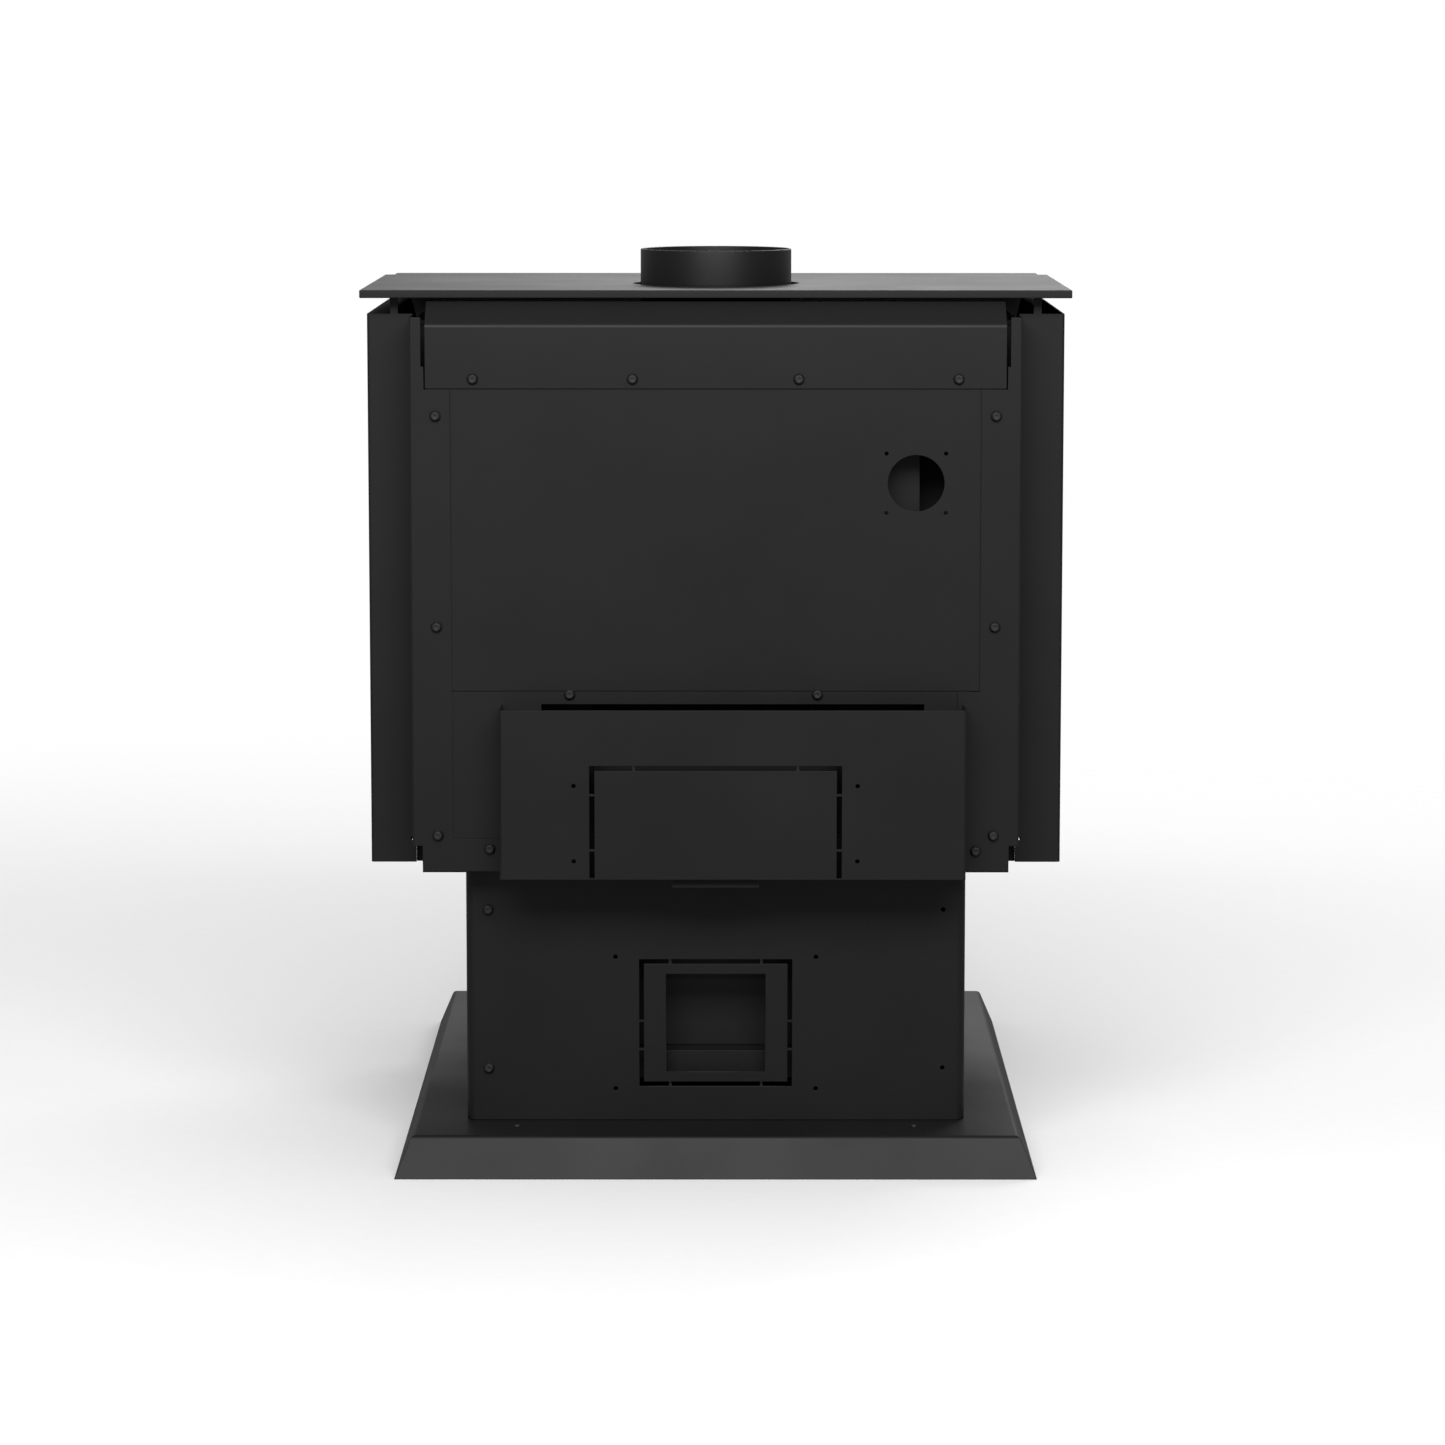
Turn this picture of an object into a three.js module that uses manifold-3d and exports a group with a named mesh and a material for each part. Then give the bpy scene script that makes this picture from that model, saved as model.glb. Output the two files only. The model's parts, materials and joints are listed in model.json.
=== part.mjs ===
// Free-standing wood burning stove on a pedestal: welded firebox, convection jacket with a
// rear duct for a blower, thick top plate with a flue collar, ash drawer, glazed door.
// Millimetres, +Z up. Origin on the floor, at the middle of the stove's width and depth.
// The door faces -Y and the rear duct faces +Y.
import * as THREE from 'three';
import { mergeVertices } from 'three/addons/utils/BufferGeometryUtils.js';
import Module from 'manifold-3d';

const wasm = await Module();
wasm.setup();

// ---------------------------------------------------------------- driving dimensions

const overallHeight = 914; // floor to the rim of the flue collar
const topWidth = 705; // across the top plate
const baseDepth = 830; // front to rear across the plinth, the deepest piece
const seat = 0.3; // gap between pieces that rest on each other

// plinth
const baseWidth = 640;
const baseHeight = 41;
const baseFlareSide = 17;
const baseFlareRear = 17;
const baseFlareFront = 24;
const baseSheet = 3;
const baseLean = 1.1; // level distance through a leaning sheet, for each unit of its thickness
const baseLip = 15;

// pedestal
const pedestalWidth = 503;
const pedestalRearInset = 91; // from the plinth's rear foot to the pedestal's rear face
const pedestalFrontInset = 150;
const pedestalSheet = 3;
const pedestalBend = 9;
const pedestalFlange = 25;
const pedestalFootCut = 4;
const inletOpening = 100; // square combustion air inlet
const inletRise = 100; // its centre above the plinth
const inletPlateWidth = 154; // knock-out plate around the inlet
const inletPlateHeight = 130;
const inletScrewSpanX = 202;
const inletScrewSpanZ = 135;
const inletTabX = 46; // bridging tabs, from the inlet's centre
const inletTabsZ = [-27, 2];
const knockoutSlot = 4.5;
const knockoutTab = 2.5;
const sheetScrewHole = 2.2; // radius
const pedestalBoltInset = 22.5; // from the pedestal's side
const pedestalBoltRise = 54; // lower bolt above the plinth
const pedestalBoltDrop = 44; // upper bolt below the firebox
const boltShank = 3; // radius
const boltShankLength = 18;
const boltFlange = 6.6; // radius
const boltFlangeHeight = 1.4;
const boltHead = 5.4; // radius across the corners
const boltHeadTop = 5.7;
const boltClearance = 0.4;

// ash drawer
const drawerWidth = 330;
const drawerWall = 2;
const drawerHeight = 110;
const drawerRearGap = 31; // behind the drawer, to the shelf's rear edge
const drawerPlay = 2; // around the pan in its opening
const drawerFrontOverlap = 15;
const drawerFrontSheet = 3;
const drawerFrontCorner = 6;
const drawerHandleHalf = 50;
const drawerHandleReach = 30; // bar axis in front of the drawer's face
const drawerHandleRadius = 4;
const shelfRise = 67; // above the plinth
const shelfSheet = 2;
const shelfFlange = 28;
const shelfRearInset = 24; // behind the shelf, to the pedestal's rear face

// firebox
const fireboxBottom = 301;
const convectionGap = 44.5; // between the firebox and the outside of a side panel
const fireboxRearInset = 125; // from the plinth's rear foot to the firebox's rear face
const fireboxFrontInset = 133; // from the plinth's front foot to the shell's front edge
const fireboxPlate = 5;
const frontPlate = 6;
const frontPlateRim = 5; // past the firebox shell at each side
const roofGap = 23.7; // air gap between the firebox roof and the top plate
const slopeDrop = 59; // the roof falls this much over slopeRun
const slopeRun = 182;
const plugHole = 110;
const airSlotHalfWidth = 45;
const airSlotInset = 30; // from the shell's front edge
const airSlotDepth = 30;

// top plate and flue collar
const topPlate = 8;
const collarRise = 35; // collar rim above the top plate
const collarDiameter = 154;
const collarWall = 3;
const collarInset = 173; // its centre from the top plate's rear edge
const collarClearance = 7.5; // round the collar, in the top plate's hole
const topRearInset = 81; // from the plinth's rear foot to the top plate's rear edge
const topFrontReach = 18; // bevelled edge in front of the firebox shell
const topNotchWidth = 9.5;
const topNotchDepth = 42;
const bevelRun = 209;
const bevelLip = 11;

// convection side panels
const sideInset = 5.5; // from the top plate's side edge
const sideSheet = 2;
const sideBend = 3;
const sideFlange = 45.5;
const sideTopFlange = 20;
const sideFootFlange = 32;
const sideRise = 2; // foot above the firebox's underside
const sideTopGap = 16.5; // below the top plate
const sideRearInset = 107; // from the plinth's rear foot to the panel's rear face
const sideFrontReach = 10; // in front of the firebox shell
const sideTabWidth = 8;
const sideTabInset = 27; // from the panel's outside to the middle of its tab
const sideHoleInset = 4; // from the flange's inner edge
const sideHoleRise = 24;
const sideHole = 1.8; // radius

// rear shield and blower duct
const shieldSheet = 1.5;
const shieldRearInset = 51; // from the plinth's rear foot to the shield's rear face
const shieldSideInset = 45; // from a side panel's outside to the shield's edge
const shieldWallGap = 1; // behind the side panels' flanges
const shieldLegRise = 27; // foot of the legs above the skirt's
const shieldTopGap = 17.5; // below the top plate
const legWidth = 40; // of the frame, from its edge to the window
const windowDrop = 70; // from the shield's top to the window's top
const windowRise = 34; // above the skirt's foot
const lowerPanelRise = 182; // top of the lower panel above the skirt's foot
const lowerPanelEdge = 240;
const panelOverlap = 24; // of a panel behind the frame, at the sides
const panelOverlapTop = 18;
const panelOverlapBottom = 20;
const skirtStep = 10; // skirt's end inside the leg's edge
const skirtHem = 12;
const lipPanelStep = 15.5; // lip panel's end inside the leg's edge
const lipPanelGap = 1.3;
const lipBendDrop = 7.5; // from the shield's top to the bend
const lipRise = 22;
const lipLean = 30;
const lipSlotDrop = 48.5; // from the shield's top to the slot's foot
const lipSlotWidth = 4;
const portX = -198;
const portDrop = 93.5; // below the window's top
const portDiameter = 56;
const portScrewSpan = 58.7;
const portScrewHole = 2; // radius
const ductLeft = -247;
const ductRight = 213;
const ductRise = 0.5; // above the skirt's foot
const ductHeight = 168.5;
const ductDepth = 48;
const ductHem = 3.5;
const ductTongueHalf = 43;
const ductTongueDrop = 8;
const blownWindowInset = 40; // from the duct's sides to the window behind it
const blownWindowRise = 38.5; // above the duct's foot
const blownWindowHeight = 130;
const blowerHalfWidth = 124.5;
const blowerHeight = 113.5; // top of the knock-out above the duct's foot
const blowerSlot = 5;
const blowerTabDrops = [84, 29]; // bridging tabs, below the knock-out's top
const blowerTabX = 81;
const blowerScrewX = 140;
const blowerScrewRises = [18.5, 93.5];
const riserInner = 123;
const riserWidth = 80;
const riserDepth = 35;
const riserSheet = 2;
const riserRise = 19; // above the firebox's underside
const riserTopDrop = 82.3; // below the firebox roof
const riserHole = 20; // radius
const riserHoleDrop = 35; // below the riser's top

// lining
const brick = 32;
const brickJoint = 0.4;
const brickSetback = 6; // behind the firebox's front edge
const airTrench = 71; // front to rear, ahead of the floor bricks
const plugMargin = 5; // round the ash hole, to the bricks
const plugFlange = 3; // past the ash hole
const plugThickness = 6;
const plugBarRise = 18;
const plugBarHalf = 30;
const plugBarRadius = 4;
const tubeDiameter = 26;
const tubeWall = 2;
const tubeDrop = 158.3; // tube axis below the firebox roof
const tubeCount = 3;
const tubeSetback = 20; // first tube behind the baffle's front edge
const tubeRearGap = 102.7; // last tube ahead of the rear bricks
const brickClearance = 31; // side and rear bricks below the tubes
const baffleThickness = 25;
const baffleFrontGap = 152; // behind the firebox's front edge
const blanketThickness = 12;
const blanketInset = [4, 6]; // from the sides, and from the front and rear

// door
const doorFrameWidth = 58; // from the door opening to the door's edge, at the sides
const doorFrameBelow = 35;
const doorFrameAbove = 38;
const doorCorner = 20;
const doorFlange = 12;
const doorBody = 12;
const doorStandoff = 3.7; // rear face of the door to the front plate
const doorBodyMargin = 30; // thin flange left beside the thick body
const doorBodyMarginEnds = 8; // above and below it
const doorBodyCorner = 14;
const doorOpeningHalfWidth = 200;
const doorOpeningRise = 79; // above the firebox's underside
const doorOpeningDrop = 93.3; // from the front plate's top to the opening
const doorOpeningCorner = 18;
const windowMargin = 18; // frame inside the door opening
const windowCorner = 12;
const glassMargin = 4.5;
const glassClearance = 0.5;
const glassThickness = 5;
const glassCorner = 4;
const gasketThickness = 1.5;
const gasketLap = 3; // its inner edge inside the glass opening's edge
const retainerSheet = 3;
const retainerWidth = 15;
const retainerInset = 1; // from the glass's edge
const retainerEndInset = 6;
const ropeGap = 8; // door opening to the rope
const ropeWidth = 12;
const ropeGroove = 6;
const ropeCorners = [14, 8]; // outer and inner
const hingeAxisReach = 17; // hinge axis past the door's edge
const hingeAxisStandoff = 14.7; // hinge axis in front of the front plate
const hingeInsets = [60, 55]; // from the door opening's foot and top
const knuckleRadius = 9;
const knuckleHeight = 24;
const pinRadius = 4;
const pinClearance = 0.3;
const pinHeadRim = 3;
const pinHeadHeight = 4;
const knuckleGap = 0.5;
const lugLap = 6; // of the hinge lug on the door's flange
const lugDepth = 8;
const hingeLeafSheet = 3.2;
const hingeLeafReach = [17, 12]; // from the hinge axis, away from the door and towards it
const hingeLeafRise = 8;

// door handle and latch
const handleInset = 15; // from the door's edge
const handleRise = 195; // above the door's lower edge
const handleRadius = 5;
const handleReach = 35; // grip axis in front of the door's face
const handleDrop = 115;
const gripRadius = 11;
const gripLength = 92;
const gripFootGap = 4; // rod showing below the grip
const handleClearance = 0.4;
const camReach = 32;
const camWidth = 14;
const camThickness = 5;
const camCorner = 3;
const camStandoff = 2.5; // behind the door's flange
const catchGap = 1;
const catchHalfHeight = 15;
const catchSheet = 4.5;
const catchPost = 4;
const catchEdgeGap = 4.5; // from the door's edge
const catchFoot = 12;
const catchFootSheet = 3.5;
const catchFootRise = 10;
const catchPostGap = 7; // between the turned cam and the catch's post

// ash lip and combustion air control
const ashLipHalfWidth = 235;
const ashLipRise = 21; // above the firebox's underside
const ashLipReach = 95;
const ashLipSheet = 3;
const ashLipRim = 13;
const ashLipDrop = 4;
const ashLipGap = 5; // between the lip's upright and the door
const airBoxHalfWidth = 70;
const airBoxDepth = 130;
const airBoxDrop = 43; // below the firebox's underside
const airBoxSheet = 2;
const airBoxInset = 10; // behind the pedestal's front edge
const airBoxHoleInset = 22; // from the box's inner side
const airBoxHoleLap = 4; // of the damper over each end of its hole
const damperLength = 50;
const damperRearGap = 15;
const damperSideGap = 8;
const damperSheet = 3;
const damperPostHalf = 10;
const airRodRise = 17; // above the air box's foot
const airRodRadius = 4;
const airRodClearance = 0.6;
const airRodReach = 84.7; // in front of the pedestal's front edge
const knobRadius = 11;
const knobLength = 24;

// ---------------------------------------------------------------- derived places

const baseRear = baseDepth / 2;
const baseFront = -baseDepth / 2;
const pedestalRear = baseRear - pedestalRearInset;
const pedestalFront = baseFront + pedestalFrontInset;
const fireboxRear = baseRear - fireboxRearInset;
const fireboxFront = baseFront + fireboxFrontInset;
const frontFace = fireboxFront - seat - frontPlate;
const topRear = baseRear - topRearInset;
const topFront = fireboxFront - topFrontReach + bevelRun;
const topSurface = overallHeight - collarRise;
const topUnderside = topSurface - topPlate;
const roofTop = topUnderside - roofGap;
const roofUnderside = roofTop - fireboxPlate;
const collarY = topRear - collarInset;
const sideWidth = topWidth - 2 * sideInset;
const fireboxWidth = sideWidth - 2 * convectionGap;
const inletHeight = baseHeight + inletRise;
const pedestalBoltHeights = [baseHeight + pedestalBoltRise, fireboxBottom - pedestalBoltDrop];
const shelfHeight = baseHeight + shelfRise;
const airBoxBottom = fireboxBottom - airBoxDrop;
const airRodHeight = airBoxBottom + airRodRise;
const ashLipHeight = fireboxBottom + ashLipRise;
const sideBottom = fireboxBottom + sideRise;
const riserBottom = fireboxBottom + riserRise;
const skirtBottom = fireboxBottom;
const shieldLegBottom = skirtBottom + shieldLegRise;
const windowBottom = skirtBottom + windowRise;
const lowerPanelTop = skirtBottom + lowerPanelRise;
const ductBottom = skirtBottom + ductRise;
const ductTop = ductBottom + ductHeight;
const blowerTop = ductBottom + blowerHeight;
const blowerScrewHeights = blowerScrewRises.map((rise) => ductBottom + rise);
const blownWindowBottom = ductBottom + blownWindowRise;
const blownWindowTop = blownWindowBottom + blownWindowHeight;
const shieldRear = baseRear - shieldRearInset;
const shieldTop = topUnderside - shieldTopGap;
const shieldHalfWidth = sideWidth / 2 - shieldSideInset;
const windowHalfWidth = shieldHalfWidth - legWidth;
const windowTop = shieldTop - windowDrop;
const skirtHalfWidth = shieldHalfWidth - skirtStep;
const lipPanelHalfWidth = shieldHalfWidth - lipPanelStep;
const lipBend = shieldTop - lipBendDrop;
const sideRear = baseRear - sideRearInset;
const sideFront = fireboxFront - sideFrontReach;
const slope = slopeDrop / slopeRun;
const slopeStart = fireboxFront + slopeRun;
const floorTop = fireboxBottom + fireboxPlate;
const innerHalf = fireboxWidth / 2 - fireboxPlate;
const innerRear = fireboxRear - fireboxPlate;
const frontTop = roofUnderside - slopeDrop + fireboxPlate;
const doorOpeningBottom = fireboxBottom + doorOpeningRise;
const doorOpeningTop = frontTop - doorOpeningDrop;
const doorHalfWidth = doorOpeningHalfWidth + doorFrameWidth;
const doorBottom = doorOpeningBottom - doorFrameBelow;
const doorTop = doorOpeningTop + doorFrameAbove;
const hingeAxisX = -doorHalfWidth - hingeAxisReach;
const hingeHeights = [doorOpeningBottom + hingeInsets[0], doorOpeningTop - hingeInsets[1]];
const handleX = doorHalfWidth - handleInset;
const handleZ = doorBottom + handleRise;
const tubeHeight = roofUnderside - tubeDrop;
const brickTop = tubeHeight - tubeDiameter / 2 - brickClearance;
const riserTop = roofUnderside - riserTopDrop;

// ---------------------------------------------------------------- finishes

function finish(color, roughness, metalness) {
  return new THREE.MeshStandardMaterial({ color, roughness, metalness });
}

const finishes = {
  stovePaint: () => finish(0x2b2b2c, 0.75, 0.1),
  topPaint: () => finish(0x303031, 0.6, 0.15),
  castIron: () => finish(0x232324, 0.7, 0.3),
  steel: () => finish(0x8d8f92, 0.35, 0.9),
  stainless: () => finish(0xa9abad, 0.3, 0.95),
  firebrick: () => finish(0xc9b48c, 0.95, 0),
  board: () => finish(0xd9d2bd, 0.95, 0),
  rope: () => finish(0x4a4a48, 0.95, 0),
  glass: () => finish(0x1c1a18, 0.08, 0),
  spring: () => finish(0x9b9da0, 0.3, 0.95),
};

// ---------------------------------------------------------------- solids

/** A closed manifold solid from a three.js geometry. */
function solid(geometry) {
  const bare = geometry.index ? geometry.toNonIndexed() : geometry.clone();
  bare.deleteAttribute('normal');
  bare.deleteAttribute('uv');
  const merged = mergeVertices(bare, 1e-4);
  return new wasm.Manifold(new wasm.Mesh({
    numProp: 3,
    vertProperties: new Float32Array(merged.attributes.position.array),
    triVerts: new Uint32Array(merged.index.array),
  }));
}

function join(first, ...others) {
  return others.reduce((sum, next) => sum.add(next), first);
}

function cut(first, ...others) {
  return others.reduce((rest, next) => rest.subtract(next), first);
}

/** A box between two opposite corners. */
function box(x0, x1, y0, y1, z0, z1) {
  const geometry = new THREE.BoxGeometry(x1 - x0, y1 - y0, z1 - z0);
  geometry.translate((x0 + x1) / 2, (y0 + y1) / 2, (z0 + z1) / 2);
  return solid(geometry);
}

/** A box about the plane x = 0. */
function centredBox(halfWidth, y0, y1, z0, z1) {
  return box(-halfWidth, halfWidth, y0, y1, z0, z1);
}

const upX = new THREE.Vector3(1, 0, 0);
const upY = new THREE.Vector3(0, 1, 0);
const upZ = new THREE.Vector3(0, 0, 1);

function extrude(shape, length, segments) {
  return new THREE.ExtrudeGeometry(shape, { depth: length, bevelEnabled: false, curveSegments: segments });
}

/** A plan outline (x, y) raised from z0 to z1. */
function extrudeZ(shape, z0, z1, segments = 4) {
  const geometry = extrude(shape, z1 - z0, segments);
  geometry.translate(0, 0, z0);
  return solid(geometry);
}

/** A front outline (x, z) carried from y0 to y1. */
function extrudeY(shape, y0, y1, segments = 4) {
  const geometry = extrude(shape, y1 - y0, segments);
  geometry.applyMatrix4(new THREE.Matrix4().makeBasis(upX, upZ, upY.clone().negate()));
  geometry.translate(0, y1, 0);
  return solid(geometry);
}

/** A side outline (y, z) carried from x0 to x1. */
function extrudeX(shape, x0, x1, segments = 4) {
  const geometry = extrude(shape, x1 - x0, segments);
  geometry.applyMatrix4(new THREE.Matrix4().makeBasis(upY, upZ, upX));
  geometry.translate(x0, 0, 0);
  return solid(geometry);
}

function polygon(points) {
  return new THREE.Shape(points.map(([a, b]) => new THREE.Vector2(a, b)));
}

/** A rectangle with its own radius at each corner: low-low, high-low, high-high, low-high. */
function roundedRectangle(a0, b0, a1, b1, radii) {
  const [r1, r2, r3, r4] = Array.isArray(radii) ? radii : [radii, radii, radii, radii];
  const shape = new THREE.Shape();
  shape.moveTo(a0 + r1, b0);
  shape.lineTo(a1 - r2, b0);
  if (r2 > 0) shape.absarc(a1 - r2, b0 + r2, r2, -Math.PI / 2, 0, false);
  shape.lineTo(a1, b1 - r3);
  if (r3 > 0) shape.absarc(a1 - r3, b1 - r3, r3, 0, Math.PI / 2, false);
  shape.lineTo(a0 + r4, b1);
  if (r4 > 0) shape.absarc(a0 + r4, b1 - r4, r4, Math.PI / 2, Math.PI, false);
  shape.lineTo(a0, b0 + r1);
  if (r1 > 0) shape.absarc(a0 + r1, b0 + r1, r1, Math.PI, Math.PI * 1.5, false);
  return shape;
}

function disc(a, b, radius) {
  const shape = new THREE.Shape();
  shape.absarc(a, b, radius, 0, Math.PI * 2, false);
  return shape;
}

const rodX = (y, z, radius, x0, x1, segments = 16) => extrudeX(disc(y, z, radius), x0, x1, segments);
const rodY = (x, z, radius, y0, y1, segments = 16) => extrudeY(disc(x, z, radius), y0, y1, segments);
const rodZ = (x, y, radius, z0, z1, segments = 16) => extrudeZ(disc(x, y, radius), z0, z1, segments);

/** A rectangular frustum between two level rectangles [x0, x1, y0, y1]. */
function frustum(low, high, z0, z1) {
  const geometry = new THREE.BoxGeometry(1, 1, 1);
  const corners = geometry.attributes.position;
  for (let i = 0; i < corners.count; i += 1) {
    const [x0, x1, y0, y1] = corners.getZ(i) < 0 ? low : high;
    const x = corners.getX(i) < 0 ? x0 : x1;
    const y = corners.getY(i) < 0 ? y0 : y1;
    corners.setXYZ(i, x, y, corners.getZ(i) < 0 ? z0 : z1);
  }
  return solid(geometry);
}

const grown = ([x0, x1, y0, y1], by) => [x0 - by, x1 + by, y0 - by, y1 + by];

/** The stretches from low to high that are left between the bridging tabs. */
function slotRuns(low, high, tabs, tabWidth) {
  const runs = [];
  let start = low;
  for (const tab of [...tabs].sort((a, b) => a - b)) {
    runs.push([start, tab - tabWidth / 2]);
    start = tab + tabWidth / 2;
  }
  runs.push([start, high]);
  return runs;
}

const model = new THREE.Group();

/** Adds one named piece to the stove. */
function piece(name, manifold, material, group = model) {
  const mesh = manifold.getMesh();
  const geometry = new THREE.BufferGeometry();
  geometry.setAttribute('position', new THREE.BufferAttribute(new Float32Array(mesh.vertProperties), 3));
  geometry.setIndex(new THREE.BufferAttribute(new Uint32Array(mesh.triVerts), 1));
  geometry.computeVertexNormals();
  const result = new THREE.Mesh(geometry, material);
  result.name = name;
  group.add(result);
  return result;
}

// ---------------------------------------------------------------- plinth and pedestal

/** The plinth's outline at a height: its four sides lean in towards the top. */
function plinthOutline(z) {
  const rise = z / baseHeight;
  return [
    -baseWidth / 2 + baseFlareSide * rise,
    baseWidth / 2 - baseFlareSide * rise,
    baseFront + baseFlareFront * rise,
    baseRear - baseFlareRear * rise,
  ];
}

/** A folded steel tray, open underneath, with a turned-in foot. */
function basePlinth() {
  const wall = baseSheet * baseLean;
  const underTop = baseHeight - baseSheet;
  const outer = frustum(plinthOutline(0), plinthOutline(baseHeight), 0, baseHeight);
  const hollow = frustum(
    grown(plinthOutline(baseSheet), -wall),
    grown(plinthOutline(underTop), -wall),
    baseSheet,
    underTop,
  );
  const [x0, x1, y0, y1] = grown(plinthOutline(0), -wall - baseLip);
  return cut(outer, hollow, box(x0, x1, y0, y1, -1, baseSheet + 1));
}

/** Rear and side walls bent from one sheet, with flanges turned in at the top and foot. */
function pedestalShell() {
  const half = pedestalWidth / 2;
  const low = baseHeight + seat;
  const high = fireboxBottom - seat;
  const inner = half - pedestalSheet;
  const innerRearFace = pedestalRear - pedestalSheet;
  const innerBend = pedestalBend - pedestalSheet;
  const open = inner - pedestalFlange;
  const bends = [0, 0, pedestalBend, pedestalBend];
  const outline = roundedRectangle(-half, pedestalFront, half, pedestalRear, bends);
  const innerBends = [0, 0, innerBend, innerBend];
  const room = roundedRectangle(-inner, pedestalFront - 1, inner, innerRearFace, innerBends);
  const mouth = box(-open, open, pedestalFront - 1, innerRearFace - pedestalFlange, low - 1, high + 1);
  const through = [innerRearFace - 1, pedestalRear + 1];
  const footCuts = [-1, 1].map((side) => extrudeY(polygon([
    [side * (half + 1), low - 1],
    [side * (half - pedestalFootCut - 1), low - 1],
    [side * (half + 1), low + pedestalFootCut + 1],
  ]), pedestalRear - pedestalBend - 1, pedestalRear + 1));
  return cut(
    extrudeZ(outline, low, high, 5),
    extrudeZ(room, low + pedestalSheet, high - pedestalSheet, 5),
    mouth,
    ...footCuts,
    ...inletCuts(through),
    ...pedestalBoltHoles(through),
  );
}

/** The square air inlet, its screw holes, and the bridged slots of the knock-out around it. */
function inletCuts(through) {
  const halfOpening = inletOpening / 2;
  const x1 = inletPlateWidth / 2;
  const z0 = inletHeight - inletPlateHeight / 2;
  const z1 = inletHeight + inletPlateHeight / 2;
  const cuts = [centredBox(halfOpening, ...through, inletHeight - halfOpening, inletHeight + halfOpening)];
  for (const [a, b] of slotRuns(-x1, x1, [-inletTabX, inletTabX], knockoutTab)) {
    cuts.push(box(a, b, ...through, z0, z0 + knockoutSlot));
    cuts.push(box(a, b, ...through, z1 - knockoutSlot, z1));
  }
  for (const [a, b] of slotRuns(z0, z1, inletTabsZ.map((z) => inletHeight + z), knockoutTab)) {
    cuts.push(box(-x1, -x1 + knockoutSlot, ...through, a, b));
    cuts.push(box(x1 - knockoutSlot, x1, ...through, a, b));
  }
  for (const x of [-inletScrewSpanX / 2, inletScrewSpanX / 2]) {
    for (const z of [inletHeight - inletScrewSpanZ / 2, inletHeight + inletScrewSpanZ / 2]) {
      cuts.push(rodY(x, z, sheetScrewHole, ...through, 10));
    }
  }
  return cuts;
}

const pedestalBoltX = pedestalWidth / 2 - pedestalBoltInset;

function pedestalBoltHoles(through) {
  return [[-pedestalBoltX, sheetScrewHole], [pedestalBoltX, boltShank + boltClearance]].flatMap(
    ([x, radius]) => pedestalBoltHeights.map((z) => rodY(x, z, radius, ...through, 12)),
  );
}

/** The front plate, with the drawer opening and the hole for the air control rod. */
function pedestalFrontPlate() {
  const half = pedestalWidth / 2;
  const rear = pedestalFront - seat;
  const front = rear - pedestalSheet;
  const plate = centredBox(half, front, rear, baseHeight + seat, fireboxBottom - seat);
  const opening = centredBox(
    drawerWidth / 2 + drawerPlay,
    front - 1,
    rear + 1,
    shelfHeight - 1,
    shelfHeight + drawerHeight + drawerPlay,
  );
  const rodHole = rodY(0, airRodHeight, airRodRadius + airRodClearance, front - 1, rear + 1);
  return cut(plate, opening, rodHole);
}

/** A flanged washer-head bolt pointing forward from the pedestal's rear face. */
function pedestalBolt() {
  const head = new THREE.CylinderGeometry(boltHead, boltHead, boltHeadTop - 1, 6);
  head.translate(0, (boltHeadTop + 1) / 2, 0);
  return join(
    rodY(0, 0, boltFlange, seat, boltFlangeHeight, 20),
    solid(head),
    rodY(0, 0, boltShank, -boltShankLength, 1, 12),
  );
}

piece('base_plinth', basePlinth(), finishes.stovePaint());
piece('pedestal_shell', pedestalShell(), finishes.stovePaint());
piece('pedestal_front', pedestalFrontPlate(), finishes.stovePaint());
pedestalBoltHeights.forEach((z, i) => {
  const name = ['pedestal_bolt_lower', 'pedestal_bolt_upper'][i];
  piece(name, pedestalBolt(), finishes.steel()).position.set(pedestalBoltX, pedestalRear, z);
});

// ---------------------------------------------------------------- ash drawer

const shelfRear = pedestalRear - shelfRearInset;
const panRear = shelfRear - drawerRearGap;
const panFront = pedestalFront - seat - pedestalSheet;
const panBottom = shelfHeight + seat;

/** The shelf that the drawer slides on, with its rear and side edges folded down. */
function drawerShelf() {
  const half = pedestalWidth / 2 - pedestalSheet - seat;
  const low = shelfHeight - shelfFlange;
  const front = pedestalFront + seat;
  return join(
    centredBox(half, front, shelfRear, shelfHeight - shelfSheet, shelfHeight),
    centredBox(half, shelfRear - shelfSheet, shelfRear, low, shelfHeight),
    box(-half, -half + shelfSheet, front, shelfRear, low, shelfHeight),
    box(half - shelfSheet, half, front, shelfRear, low, shelfHeight),
  );
}

function ashDrawerPan() {
  const half = drawerWidth / 2;
  const top = panBottom + drawerHeight;
  return cut(
    centredBox(half, panFront, panRear, panBottom, top),
    centredBox(
      half - drawerWall,
      panFront + drawerWall,
      panRear - drawerWall,
      panBottom + drawerWall,
      top + 1,
    ),
  );
}

const drawerFaceRear = panFront - seat;
const drawerFace = drawerFaceRear - drawerFrontSheet;
const drawerMiddle = panBottom + drawerHeight / 2;

function ashDrawerFront() {
  const half = drawerWidth / 2 + drawerFrontOverlap;
  const low = panBottom - drawerFrontOverlap + drawerPlay;
  const high = panBottom + drawerHeight + drawerFrontOverlap;
  return extrudeY(roundedRectangle(-half, low, half, high, drawerFrontCorner), drawerFace, drawerFaceRear, 4);
}

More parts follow.
